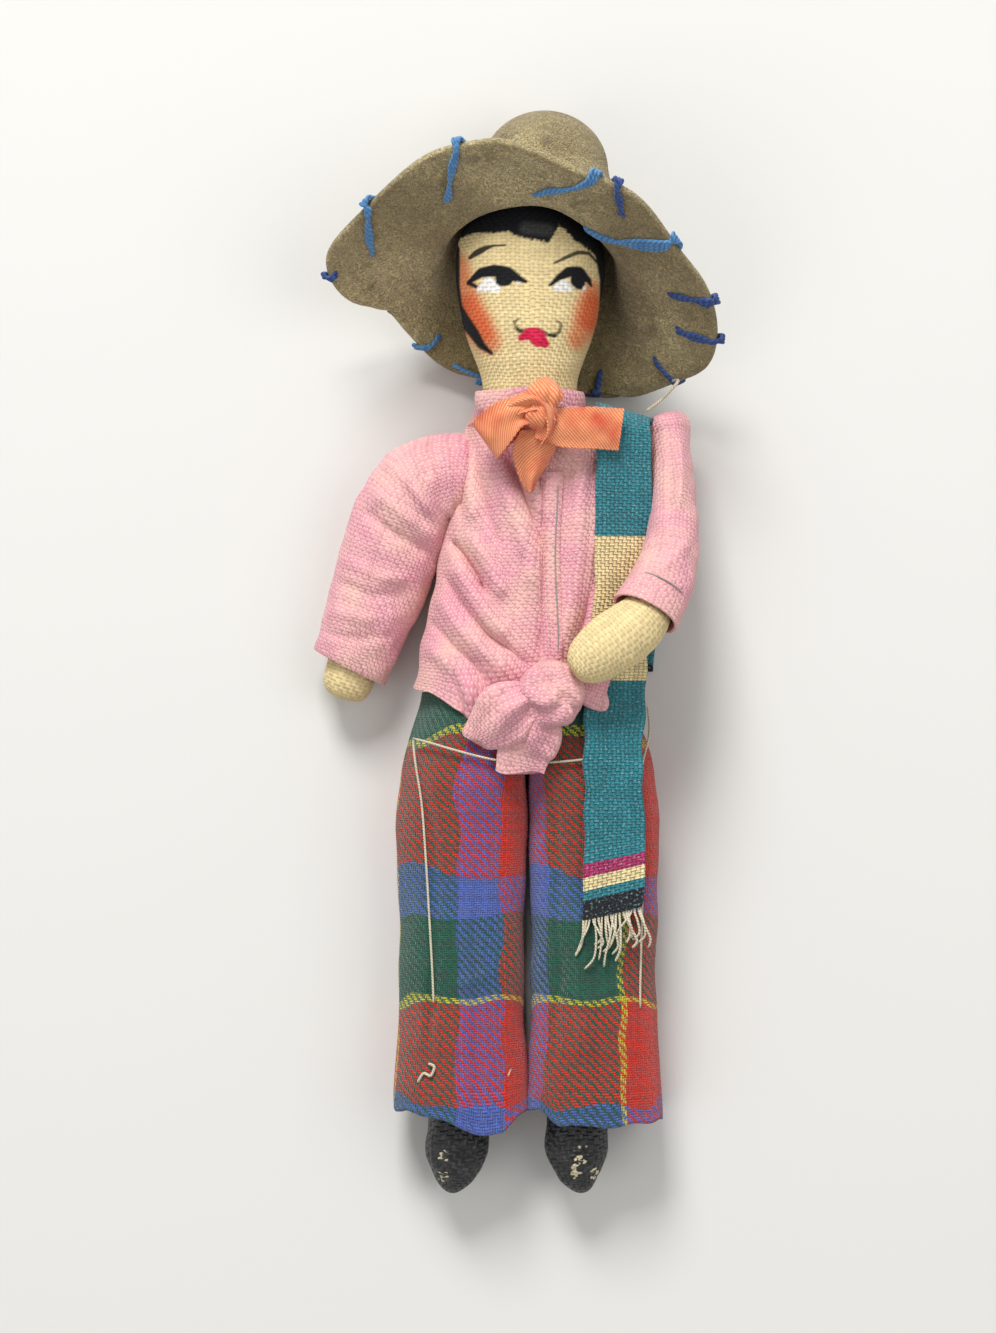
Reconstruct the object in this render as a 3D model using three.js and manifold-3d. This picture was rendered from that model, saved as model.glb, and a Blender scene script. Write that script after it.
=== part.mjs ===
// A cloth folk doll lying on its back: painted muslin head, felt hat with yarn stitches,
// gauze shirt tied in front, plaid trousers, ribbon bow and a woven sarape over one shoulder.
// Millimetres. +Y runs from the toes to the hat, +Z is up out of the chest, +X is the doll's left.
import * as THREE from "three";
import { mergeVertices } from "three/addons/utils/BufferGeometryUtils.js";
import Module from "manifold-3d";

const wasm = await Module();
wasm.setup();

// Clearances and cloth thicknesses
const gap = 0.35;
const feltThick = 1.3;
const gauzeThick = 0.8;
const woolThick = 1.2;
const strapThick = 0.9;
const ribbonThick = 0.6;
const restCut = 0.5;

// Head and neck
const headX = 0.3;
const headZ = 14.5;
const headHalfWidth = 12.5;
const headHalfDepth = 9.8;
const neckRadius = 7.9;
const neckBottomY = 132.6;
const headTopY = 169;

// Torso and shirt: the sides follow the two shoulder seams
const shoulderY = 128.3;
const hemY = 84.8;
const rightSeamX = -10.3;
const rightSeamSlope = 0.196;
const leftSeamX = 21.2;
const leftSeamSlope = 0.15;
const chestHalfDepth = 9.6;
const torsoZ = chestHalfDepth - restCut;
const neckHoleY = 131.6;
const neckHoleRoom = 1;
const neckHoleHalf = neckRadius + neckHoleRoom;
const collarHeight = 2.6;
const collarWall = 0.8;
const collarProud = 3.7;

// Trousers, legs and boots
const hipY = 70.6;
const trouserHalfWidth = 10.4;
const betweenLegs = 1.4;
const legX = trouserHalfWidth + betweenLegs / 2;
const trouserHalfDepth = 8.2;
const waistHalfWidth = 17.6;
const seatHalfWidth = 20.8;
const seatRoom = 1.1;
const seatHalfDepth = 9.3;
const trouserHemY = 13.5;
const legHalfWidth = 5.6;
const bootLength = 12.5;
const bootHalfWidth = 5.3;
const rightBootX = -11.8;
const leftBootX = 8.2;
const bootToeY = 0.4;

// Right arm, held out a little from the side
const sleeveHalfWidth = 7.2;
const rightShoulder = new THREE.Vector3(rightSeamX - sleeveHalfWidth + 0.1, 124.6, 8.4);
const rightArmTurn = -18.8;
const rightArmDrop = 2.6;
const rightElbowAt = 20;
const rightCuffAt = 37.5;
const rightHandAt = 42.6;
const sleeveHalfDepth = 6;
const armHalfWidth = 4;

// Left arm, bent across the front
const leftShoulder = new THREE.Vector3(24.9, 124.6, 9.8);
const chestTopZ = torsoZ + chestHalfDepth;
const leftUpperArm = new THREE.Vector3(24.7, 110, chestTopZ - 2.5);
const leftElbow = new THREE.Vector3(19.6, 98.2, chestTopZ + 3.3);
const leftHand = new THREE.Vector3(7.6, 88.6, chestTopZ + 6.9);
const leftCuffHalfWidth = 5;
const forearmHalf = 4.3;
const forearmStart = 1.3;

// Hat: crown opening round the head, dome, and the brim's edge seen from the front,
// starting at the forehead and going round by the doll's left side
const crownBase = new THREE.Vector3(0.6, 158.5, 13.8);
const crownEnd = new THREE.Vector3(2.8, 172, 11.4);
const crownRoom = 2.1;
const crownRoomFront = 2.4;
const crownBaseHalf = headHalfWidth + crownRoom;
const crownBaseFront = new THREE.Vector3(0, 6.1, headHalfDepth + crownRoomFront);
const crownEndHalf = 10;
const brimEdge = [
  [-0.7, 171.5, 37],
  [12.5, 167, 35],
  [24, 157.5, 28],
  [31.2, 144.5, 18],
  [26.5, 137.8, 8],
  [14.5, 135.4, 3.6],
  [2, 134.8, 2.8],
  [-10, 137.8, 3],
  [-21, 143.5, 5],
  [-33.6, 152.8, 13],
  [-26.5, 163.5, 24],
  [-11.5, 173.5, 34],
];
const brimSag = 2.4;

// Yarn stitches over the brim: place round the brim from the forehead, and how far in they reach
const yarnRadius = 0.5;
const yarnStitches = [
  { at: 22, reach: 0.42 },
  { at: 38, reach: 0.36 },
  { at: 55, reach: 0.5 },
  { at: 74, reach: 0.34 },
  { at: 92, reach: 0.4 },
  { at: 112, reach: 0.3 },
  { at: 150, reach: 0.28 },
  { at: 205, reach: 0.28 },
  { at: 238, reach: 0.32 },
  { at: 268, reach: 0.26 },
  { at: 298, reach: 0.34 },
  { at: 338, reach: 0.5 },
];

// Sarape, ribbon and ties
const sarapeWidth = 10;
const sarapeHipX = legX + 2.9;
const sarapeEndY = 51.5;
const sarapeBackEndY = 88;
const fringeLength = 9.5;
const fringeStrands = 6;
const fringeRadius = 0.36;
const headingLength = 1.2;
const ribbonWidth = 6;
const threadRadius = 0.3;
const placketX = 3.4;
const placketWidth = 3;
const knotHalf = new THREE.Vector3(4.4, 4.4, 3);
const knotRoom = 0.4;
const knotAt = new THREE.Vector3(3.9, 84.6, chestTopZ + knotRoom + knotHalf.z);
const tailHalfDepth = 1.3;

const skin = cloth("muslin", "#cdb68c", 0.9);
const paintBlack = cloth("painted cloth", "#1d1c1f", 0.5);
const felt = cloth("wool felt", "#a3937a", 0.95);
const yarn = cloth("yarn", "#2f5f97", 0.9);
const gauze = cloth("cotton gauze", "#cf8fae", 0.9);
const plaid = cloth("plaid wool", "#7a3a34", 0.95);
const teal = cloth("woven cotton", "#1f5560", 0.9);
const rayon = cloth("rayon ribbon", "#e06c48", 0.55);
const cottonThread = cloth("cotton thread", "#dcd3c2", 0.8);

const doll = new THREE.Group();

function cloth(name, color, roughness) {
  const material = new THREE.MeshStandardMaterial({ color, roughness, metalness: 0 });
  material.name = name;
  return material;
}

function point(x, y, z) {
  return new THREE.Vector3(x, y, z);
}

// A closed surface through rings of points: capped at both ends, or joined last ring to first.
function loft(rings, joined = false) {
  const count = rings[0].length;
  const positions = rings.flat().flatMap((p) => p.toArray());
  const faces = [];
  const bands = joined ? rings.length : rings.length - 1;
  for (let i = 0; i < bands; i++) {
    const next = (i + 1) % rings.length;
    for (let j = 0; j < count; j++) {
      const k = (j + 1) % count;
      const a = i * count + j;
      const b = i * count + k;
      const c = next * count + k;
      const d = next * count + j;
      faces.push(a, b, c, a, c, d);
    }
  }
  if (!joined) {
    capRing(rings, 0, positions, faces, false);
    capRing(rings, rings.length - 1, positions, faces, true);
  }
  const geometry = new THREE.BufferGeometry();
  geometry.setAttribute("position", new THREE.Float32BufferAttribute(positions, 3));
  geometry.setIndex(faces);
  return facingOut(geometry);
}

function capRing(rings, index, positions, faces, turned) {
  const ring = rings[index];
  const middle = ring.reduce((sum, p) => sum.add(p), point(0, 0, 0)).divideScalar(ring.length);
  const hub = positions.length / 3;
  positions.push(...middle.toArray());
  for (let j = 0; j < ring.length; j++) {
    const a = index * ring.length + j;
    const b = index * ring.length + ((j + 1) % ring.length);
    if (turned) faces.push(hub, a, b);
    else faces.push(hub, b, a);
  }
}

// Turns a closed surface's faces round where they point inwards.
function facingOut(geometry) {
  const p = geometry.getAttribute("position");
  const index = geometry.index.array;
  const [a, b, c] = [point(0, 0, 0), point(0, 0, 0), point(0, 0, 0)];
  let volume = 0;
  for (let i = 0; i < index.length; i += 3) {
    a.fromBufferAttribute(p, index[i]);
    b.fromBufferAttribute(p, index[i + 1]);
    c.fromBufferAttribute(p, index[i + 2]);
    volume += a.dot(b.cross(c));
  }
  if (volume < 0) {
    for (let i = 0; i < index.length; i += 3) {
      [index[i + 1], index[i + 2]] = [index[i + 2], index[i + 1]];
    }
  }
  return geometry;
}

// An oval ring about a centre, spanned by two half-axes; fullness under 1 makes it boxier.
function ovalRing(centre, across, up, sides, fullness = 1) {
  const ring = [];
  for (let j = 0; j < sides; j++) {
    const angle = (2 * Math.PI * j) / sides;
    const c = Math.sign(Math.cos(angle)) * Math.abs(Math.cos(angle)) ** fullness;
    const s = Math.sign(Math.sin(angle)) * Math.abs(Math.sin(angle)) ** fullness;
    ring.push(centre.clone().addScaledVector(across, c).addScaledVector(up, s));
  }
  return ring;
}

// A level ring across the doll at one height.
function bodyRing(x, y, z, halfWidth, halfDepth, sides = 24, fullness = 1) {
  return ovalRing(point(x, y, z), point(halfWidth, 0, 0), point(0, 0, halfDepth), sides, fullness);
}

// A flat strap through points, its width along one vector a point, with rounded-off corners left out.
function strap(path, widths, thickness) {
  const rings = path.map((p, i) => {
    const before = path[Math.max(i - 1, 0)];
    const after = path[Math.min(i + 1, path.length - 1)];
    const along = after.clone().sub(before).normalize();
    const half = widths[Math.min(i, widths.length - 1)].clone().multiplyScalar(0.5);
    const normal = along.clone().cross(half).normalize().multiplyScalar(thickness / 2);
    return [
      p.clone().add(half).add(normal),
      p.clone().sub(half).add(normal),
      p.clone().sub(half).sub(normal),
      p.clone().add(half).sub(normal),
    ];
  });
  return loft(rings);
}

// A round strand along a smooth curve.
function strand(points, radius, sides = 6, steps = 10) {
  const section = new THREE.Shape();
  section.absarc(0, 0, radius, 0, 2 * Math.PI);
  const geometry = new THREE.ExtrudeGeometry(section, {
    steps,
    curveSegments: sides,
    extrudePath: new THREE.CatmullRomCurve3(points),
  });
  geometry.deleteAttribute("normal");
  geometry.deleteAttribute("uv");
  return mergeVertices(geometry, 1e-3);
}

function toSolid(geometry) {
  const merged = mergeVertices(geometry, 1e-3);
  return new wasm.Manifold(
    new wasm.Mesh({
      numProp: 3,
      vertProperties: new Float32Array(merged.getAttribute("position").array),
      triVerts: new Uint32Array(merged.index.array),
    }),
  );
}

function toGeometry(solid) {
  const mesh = solid.getMesh();
  const geometry = new THREE.BufferGeometry();
  geometry.setAttribute("position", new THREE.Float32BufferAttribute(mesh.vertProperties, 3));
  geometry.setIndex([...mesh.triVerts]);
  return geometry;
}

function cutAway(geometry, tool) {
  return toGeometry(toSolid(geometry).subtract(toSolid(tool)));
}

function joined(geometry, other) {
  return toGeometry(toSolid(geometry).add(toSolid(other)));
}

function block(x0, x1, y0, y1, z0, z1) {
  const box = new THREE.BoxGeometry(x1 - x0, y1 - y0, z1 - z0);
  box.deleteAttribute("normal");
  box.deleteAttribute("uv");
  box.translate((x0 + x1) / 2, (y0 + y1) / 2, (z0 + z1) / 2);
  return mergeVertices(box, 1e-3);
}

// Cuts a soft form flat where it lies on the table.
function restFlat(geometry) {
  return cutAway(geometry, block(-90, 90, -30, 210, -20, 0));
}

function addPiece(name, geometry, material) {
  const shape = geometry.index ? geometry : mergeVertices(geometry, 1e-3);
  shape.computeVertexNormals();
  const mesh = new THREE.Mesh(shape, material);
  mesh.name = name;
  doll.add(mesh);
}

// Sides of the shirt at one height.
function rightSide(y) {
  return rightSeamX - (shoulderY - y) * rightSeamSlope;
}

function leftSide(y) {
  return leftSeamX - (shoulderY - y) * leftSeamSlope;
}

// One ring of the shirt, drawn in by an inset.
function shirtRing(y, inset, depthShare = 1) {
  const low = rightSide(y) + inset + gap / 2;
  const high = leftSide(y) - inset - gap / 2;
  const halfDepth = chestHalfDepth * depthShare - inset;
  return bodyRing((low + high) / 2, y, torsoZ, (high - low) / 2, halfDepth, 28, 0.85);
}

// The shirt's yoke closes from the shoulders to the neck hole.
function yokeRing(share, inset) {
  const low = THREE.MathUtils.lerp(rightSide(shoulderY), headX - neckHoleHalf, share) + inset;
  const high = THREE.MathUtils.lerp(leftSide(shoulderY), headX + neckHoleHalf, share) - inset;
  const y = THREE.MathUtils.lerp(shoulderY, neckHoleY, share) - inset * share * 0.8;
  const z = THREE.MathUtils.lerp(torsoZ, headZ, share);
  const halfDepth = THREE.MathUtils.lerp(chestHalfDepth * 0.78, neckHoleHalf * 0.9, share) - inset;
  return bodyRing((low + high) / 2, y, z, (high - low) / 2, halfDepth, 28, 0.85 + 0.15 * share);
}

function makeHead() {
  const profile = [
    [neckBottomY, neckRadius - 0.3, neckRadius - 0.6],
    [136, neckRadius, neckRadius - 0.3],
    [139, 8.7, 8.1],
    [143, 10.3, 8.9],
    [148, 11.8, 9.5],
    [153, headHalfWidth, headHalfDepth],
    [158, headHalfWidth - 0.4, headHalfDepth - 0.1],
    [162, headHalfWidth - 1.6, headHalfDepth - 1],
    [165.5, 8.6, 6.9],
    [headTopY - 1.2, 5.4, 4.3],
    [headTopY, 1.6, 1.3],
  ];
  const rings = profile.map(([y, a, b]) => bodyRing(headX, y, headZ, a, b, 28));
  addPiece("head_and_neck", loft(rings), skin);
}

function makeTorso() {
  const inset = gauzeThick + gap;
  const rings = [hipY + gap / 2, 76, 84, 92, 100, 108, 116, 123].map((y) => {
    const half = (leftSide(y) - rightSide(y)) / 2 - inset - 1;
    const middle = (leftSide(y) + rightSide(y)) / 2;
    const inTrousers = y < hemY;
    const low = inTrousers ? woolThick + gap - inset + 0.4 : 0;
    const depth = inTrousers ? seatHalfDepth - woolThick - gap - seatRoom : chestHalfDepth - inset - 1;
    return bodyRing(middle, y, torsoZ, half - low, depth, 28);
  });
  rings.push(yokeRing(0.2, inset + 1.4));
  rings.push(yokeRing(0.5, inset + 1.7));
  const neck = bodyRing(headX, neckBottomY - gap - 0.6, headZ, neckRadius - 2.5, neckRadius - 3.3, 28);
  rings.push(neck);
  addPiece("torso", loft(rings), skin);
}

function makeShirt() {
  const heights = [hemY, 90, 97, 104, 111, 118, 124];
  const depth = [0.96, 1, 1, 1.0, 1.0, 0.98, 0.92];
  const outer = heights.map((y, i) => shirtRing(y, 0, depth[i]));
  const inner = heights.map((y, i) => shirtRing(y, gauzeThick, depth[i]));
  [0.1, 0.55, 1].forEach((share) => {
    outer.push(yokeRing(share, 0.2));
    inner.push(yokeRing(share, 0.2 + gauzeThick));
  });
  addPiece("shirt_body", restFlat(loft([...outer, ...inner.reverse()], true)), gauze);
}

function makeCollar() {
  const low = neckHoleY + gap;
  const inside = neckRadius + gap;
  const ring = (y, wall) =>
    bodyRing(headX, y, headZ, inside + wall, inside + wall - 0.3, 28);
  const rings = [
    ring(low, collarWall),
    ring(low + collarHeight, collarWall),
    ring(low + collarHeight, 0),
    ring(low, 0),
  ];
  addPiece("collar_band", loft(rings, true), gauze);
}

// A tube of cloth along a limb's own length, with its wall.
function clothTube(stations, place, wall, sides = 22) {
  const make = (inset) =>
    stations.map(([along, halfWidth, halfDepth]) => {
      const frame = place(along);
      return ovalRing(
        frame.at,
        frame.across.clone().multiplyScalar(halfWidth - inset),
        frame.up.clone().multiplyScalar(halfDepth - inset),
        sides,
      );
    });
  return loft([...make(0), ...make(wall).reverse()], true);
}

function limb(stations, place, sides = 18) {
  const rings = stations.map(([along, halfWidth, halfDepth]) => {
    const frame = place(along);
    const across = frame.across.clone().multiplyScalar(halfWidth);
    const up = frame.up.clone().multiplyScalar(halfDepth);
    return ovalRing(frame.at, across, up, sides);
  });
  return loft(rings);
}

// Where a straight limb is at a distance from its start.
function straight(start, end) {
  const along = end.clone().sub(start);
  const direction = along.clone().normalize();
  const across = direction.clone().cross(point(0, 0, 1)).normalize();
  const up = across.clone().cross(direction).normalize();
  return (distance) => ({
    at: start.clone().addScaledVector(direction, distance),
    across,
    up,
  });
}

function makeRightArm() {
  const turn = THREE.MathUtils.degToRad(rightArmTurn);
  const end = rightShoulder.clone();
  end.x += Math.sin(turn) * rightHandAt;
  end.y -= Math.cos(turn) * rightHandAt;
  end.z -= rightArmDrop;
  const place = straight(rightShoulder, end);
  const half = gap / 2;
  const sleeveUpper = [
    [-3.6, 3, 3],
    [-2.2, 5, 4.8],
    [1, 5.8, 5.8],
    [8, 6.7, sleeveHalfDepth],
    [14, sleeveHalfWidth, sleeveHalfDepth],
    [rightElbowAt - half, sleeveHalfWidth, sleeveHalfDepth],
  ];
  const sleeveLower = [
    [rightElbowAt + half, sleeveHalfWidth, sleeveHalfDepth],
    [28, sleeveHalfWidth, sleeveHalfDepth - 0.2],
    [34, sleeveHalfWidth - 0.4, sleeveHalfDepth - 0.7],
    [rightCuffAt, sleeveHalfWidth - 0.8, sleeveHalfDepth - 1],
  ];
  const armUpper = [
    [-0.6, armHalfWidth - 0.8, armHalfWidth - 1],
    [5, armHalfWidth, armHalfWidth],
    [12, armHalfWidth + 0.3, armHalfWidth],
    [rightElbowAt - half, armHalfWidth, armHalfWidth - 0.2],
  ];
  const armLower = [
    [rightElbowAt + half, armHalfWidth, armHalfWidth - 0.2],
    [28, armHalfWidth + 0.2, armHalfWidth - 0.2],
    [36, armHalfWidth, armHalfWidth - 0.6],
    [39.5, armHalfWidth, armHalfWidth - 0.6],
    [41.6, armHalfWidth - 0.9, armHalfWidth - 1.5],
    [rightHandAt, 1.4, 1],
  ];
  addPiece("right_sleeve_upper", restFlat(clothTube(sleeveUpper, place, gauzeThick)), gauze);
  addPiece("right_sleeve_lower", restFlat(clothTube(sleeveLower, place, gauzeThick)), gauze);
  addPiece("right_upper_arm", limb(armUpper, place), skin);
  addPiece("right_forearm_and_hand", limb(armLower, place), skin);
}

// Where a bent limb is at a share of its length.
function bent(...points) {
  const curve = new THREE.CatmullRomCurve3(points);
  return (share) => {
    const direction = curve.getTangent(share);
    const across = direction.clone().cross(point(0, 0, 1)).normalize();
    const up = across.clone().cross(direction).normalize();
    return { at: curve.getPoint(share), across, up };
  };
}

function makeLeftArm() {
  const upper = bent(leftShoulder, leftUpperArm, leftElbow);
  const sleeve = [
    [0, 2.1, 3.4],
    [0.08, 2.7, 4.6],
    [0.3, 3.1, 4.8],
    [0.5, 3.3, 4.8],
    [0.75, 4, 4.6],
    [1, leftCuffHalfWidth, 4.4],
  ];
  const arm = [
    [0.02, 1.1, 1.8],
    [0.15, 1.6, 3],
    [0.5, 2.1, 3.4],
    [0.97, 3.4, 3.2],
  ];
  addPiece("left_sleeve", clothTube(sleeve, upper, gauzeThick), gauze);
  addPiece("left_upper_arm", limb(arm, upper), skin);
  const fore = straight(leftForearmStart(), leftHand);
  const reach = leftForearmStart().distanceTo(leftHand);
  const forearm = [
    [0, 2.4, 2.2],
    [1.6, forearmHalf - 0.5, forearmHalf - 0.8],
    [5, forearmHalf, forearmHalf - 0.6],
    [reach - 3.5, forearmHalf - 0.5, forearmHalf - 1.1],
    [reach - 1, forearmHalf - 1.4, forearmHalf - 2],
    [reach, 1.2, 1],
  ];
  addPiece("left_forearm_and_hand", limb(forearm, fore), skin);
}

// The forearm leaves the sleeve just past the cuff.
function leftForearmStart() {
  const down = leftElbow.clone().sub(leftUpperArm).normalize();
  return leftElbow.clone().addScaledVector(down, forearmStart);
}

function makeTrousers() {
  const seat = (inset) => [
    bodyRing(-0.5, hemY - gap, torsoZ - 0.2, waistHalfWidth - inset, 8.8 - inset, 28, 0.85),
    bodyRing(-0.3, 79, torsoZ - 0.2, 19.4 - inset, 9.4 - inset, 28, 0.85),
    bodyRing(-0.1, 74, torsoZ - 0.4, seatHalfWidth - inset, seatHalfDepth - inset, 28, 0.8),
    bodyRing(0, hipY + gap / 2, torsoZ - 0.7, 21.4 - inset, 8.8 - inset, 28, 0.8),
  ];
  const rings = [...seat(0), ...seat(woolThick).reverse()];
  addPiece("trouser_seat", restFlat(loft(rings, true)), plaid);
  for (const side of [-1, 1]) {
    const name = side < 0 ? "right" : "left";
    const z = trouserHalfDepth - restCut;
    const leg = (inset) =>
      [
        [hipY - gap / 2, 0],
        [60, 0.1],
        [48, 0],
        [36, -0.2],
        [24, 0],
        [trouserHemY, 0.2],
      ].map(([y, flare]) => {
        const half = trouserHalfWidth + flare - inset;
        return bodyRing(side * legX, y, z, half, trouserHalfDepth - inset, 24, 0.9);
      });
    const shape = loft([...leg(0), ...leg(woolThick).reverse()], true);
    addPiece(name + "_trouser_leg", restFlat(shape), plaid);
    makeLeg(name, side, side < 0 ? rightBootX : leftBootX, z);
  }
}

function makeLeg(name, side, bootX, z) {
  const bootTop = bootToeY + bootLength;
  const leg = [
    [hipY - gap / 2, legHalfWidth - 1, legHalfWidth - 1.4, side * legX],
    [66, legHalfWidth, legHalfWidth, side * legX],
    [50, legHalfWidth, legHalfWidth, side * legX],
    [30, legHalfWidth - 0.4, legHalfWidth - 0.4, (side * legX + bootX) / 2],
    [bootTop + gap, bootHalfWidth - 0.7, bootHalfWidth - 0.8, bootX],
  ];
  const rings = leg.map(([y, a, b, x]) => bodyRing(x, y, z, a, b, 18));
  addPiece(name + "_leg", loft(rings), skin);
  const boot = [
    [bootTop, bootHalfWidth - 0.7, bootHalfWidth - 0.9],
    [9, bootHalfWidth, bootHalfWidth - 0.3],
    [6, bootHalfWidth - 0.2, bootHalfWidth - 0.4],
    [3, bootHalfWidth - 1.5, bootHalfWidth - 1.4],
    [bootToeY + 0.8, 2.2, 2.2],
    [bootToeY, 0.9, 0.9],
  ];
  const lean = side * -0.5;
  const shoe = boot.map(([y, a, b], i) => bodyRing(bootX + (lean * i) / 3, y, z - i * 0.25, a, b, 20));
  addPiece(name + "_boot", loft(shoe), paintBlack);
}

const brimCurve = new THREE.CatmullRomCurve3(
  brimEdge.map((p) => point(...p)),
  true,
);

// The felt's middle surface: along 0 to 1 is the crown from its top, 1 to 2 the brim out to its edge.
function hatPoint(along, turnShare) {
  const angle = 2 * Math.PI * turnShare;
  if (along <= 1) return crownPoint(along, angle);
  const base = crownPoint(1, angle);
  const out = along - 1;
  const edge = brimCurve.getPoint(turnShare);
  const place = base.lerp(edge, out);
  place.z -= brimSag * Math.sin(Math.PI * out) * Math.max(Math.cos(angle), 0);
  return place;
}

function crownPoint(along, angle) {
  const domeShare = 0.4;
  if (along < domeShare) {
    const rise = (Math.PI / 2) * (1 - along / domeShare);
    const centre = crownEnd.clone();
    centre.y += Math.sin(rise) * (crownEndHalf - 0.8);
    centre.z -= Math.sin(rise) * 1.2;
    const r = Math.cos(rise) * crownEndHalf;
    return ringPoint(centre, r, point(0, r * 0.12, r * 0.9), angle);
  }
  const share = (along - domeShare) / (1 - domeShare);
  const centre = crownEnd.clone().lerp(crownBase, share);
  const half = THREE.MathUtils.lerp(crownEndHalf, crownBaseHalf, share);
  const front = point(0, crownEndHalf * 0.12, crownEndHalf * 0.9).lerp(crownBaseFront, share);
  return ringPoint(centre, half, front, angle);
}

function ringPoint(centre, halfWidth, front, angle) {
  const place = centre.clone().addScaledVector(front, Math.cos(angle));
  place.x += halfWidth * Math.sin(angle);
  return place;
}

// The felt's outward normal, on the crown's outer side.
function hatNormal(along, turnShare) {
  const step = 0.01;
  const ahead = hatPoint(Math.min(along + step, 2), turnShare);
  const behind = hatPoint(Math.max(along - step, 0.02), turnShare);
  const left = hatPoint(along, turnShare - step);
  const right = hatPoint(along, turnShare + step);
  return ahead.sub(behind).cross(right.sub(left)).normalize().negate();
}

function hatSurface(along, turnShare, offset) {
  return hatPoint(along, turnShare).addScaledVector(hatNormal(along, turnShare), offset);
}

function makeHat() {
  const sides = 44;
  const stops = [0.04, 0.14, 0.26, 0.4, 0.6, 0.8, 1, 1.2, 1.45, 1.7, 1.9, 2];
  const ring = (along, offset) =>
    Array.from({ length: sides }, (_, j) => hatSurface(along, j / sides, offset));
  const outside = stops.map((along) => ring(along, feltThick / 2));
  const inside = stops.map((along) => ring(along, -feltThick / 2));
  addPiece("felt_hat", loft([...outside, ...inside.reverse()]), felt);
}

function makeYarn() {
  const lift = feltThick / 2 + yarnRadius + gap;
  yarnStitches.forEach(({ at, reach }, i) => {
    const turn = at / 360;
    const inner = 2 - reach;
    const over = hatPoint(2, turn);
    const out = over.clone().sub(hatPoint(1.9, turn)).normalize();
    const points = [
      hatSurface(inner, turn + 0.01, -lift),
      hatSurface(2 - reach / 2, turn + 0.005, -lift),
      hatSurface(1.98, turn, -lift),
      over.addScaledVector(out, lift + 0.1),
      hatSurface(1.98, turn, lift),
      hatSurface(2 - reach / 2, turn - 0.005, lift),
    ];
    addPiece("brim_stitch_" + (i + 1), strand(points, yarnRadius), yarn);
  });
}

// The shirt's front surface at one place.
function chestFront(x, y) {
  const low = rightSide(y);
  const high = leftSide(y);
  return torsoZ + domeHeight((x - (low + high) / 2) / ((high - low) / 2), 0.85) * chestHalfDepth;
}

// How high a boxy oval stands at a share of its half-width.
function domeHeight(share, fullness) {
  const s = Math.min(Math.abs(share), 1);
  return (1 - s ** (2 / fullness)) ** (fullness / 2);
}

function legFront(side, x) {
  const z = trouserHalfDepth - restCut;
  return z + domeHeight((x - side * legX) / trouserHalfWidth, 0.9) * trouserHalfDepth;
}

function makePlacket() {
  const lift = gap + strapThick / 2;
  const path = [120, 112, 104, 96, 90].map((y) => point(placketX, y, chestFront(placketX, y) + lift));
  addPiece("placket", strap(path, [point(placketWidth, 0, 0)], strapThick), gauze);
}

// A soft flattened lobe through stations of centre, half-width and half-depth.
function lobe(stations, sides = 16) {
  const centres = stations.map((s) => s.at);
  const rings = stations.map(({ at, wide, deep }, i) => {
    const before = centres[Math.max(i - 1, 0)];
    const after = centres[Math.min(i + 1, centres.length - 1)];
    const direction = after.clone().sub(before).normalize();
    const across = direction.clone().cross(point(0, 0, 1)).normalize();
    const up = across.clone().cross(direction).normalize();
    return ovalRing(at, across.multiplyScalar(wide), up.multiplyScalar(deep), sides);
  });
  return loft(rings);
}

function makeShirtKnot() {
  const knot = new THREE.SphereGeometry(1, 20, 12);
  knot.deleteAttribute("normal");
  knot.deleteAttribute("uv");
  knot.scale(knotHalf.x, knotHalf.y, knotHalf.z);
  knot.translate(knotAt.x, knotAt.y, knotAt.z);
  addPiece("shirt_knot", mergeVertices(knot, 1e-3), gauze);
  const z = chestTopZ + gap + tailHalfDepth;
  const right = [
    { at: point(-1.4, 84, z + 0.4), wide: 1.4, deep: 1 },
    { at: point(-4, 82, z + 0.3), wide: 3.2, deep: tailHalfDepth },
    { at: point(-6.8, 79, z), wide: 4.2, deep: tailHalfDepth },
    { at: point(-8.6, 76.6, z - 0.1), wide: 3, deep: tailHalfDepth - 0.4 },
  ];
  const left = [
    { at: point(1.8, 79.6, z + 0.3), wide: 2, deep: 1 },
    { at: point(1.2, 77.4, z), wide: 3.8, deep: tailHalfDepth },
    { at: point(-0.4, 74, z - 0.1), wide: 3.4, deep: tailHalfDepth },
    { at: point(-1.2, 71.6, z - 0.2), wide: 1.8, deep: tailHalfDepth - 0.5 },
  ];
  addPiece("shirt_tail_right", lobe(right), gauze);
  addPiece("shirt_tail_left", lobe(left), gauze);
}

// The trouser seat's front surface at one place.
function seatFront(x) {
  return torsoZ + domeHeight(x / seatHalfWidth, 0.8) * seatHalfDepth;
}

// The height at which a sloping strip rests on the clothes below it.
function restingHeight(x, y, slope, surface) {
  let height = 0;
  for (let share = -0.5; share <= 0.5; share += 0.05) {
    const over = share * sarapeWidth;
    height = Math.max(height, surface(x + over, y) - slope * over);
  }
  return height + gap + strapThick / 2;
}

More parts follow.
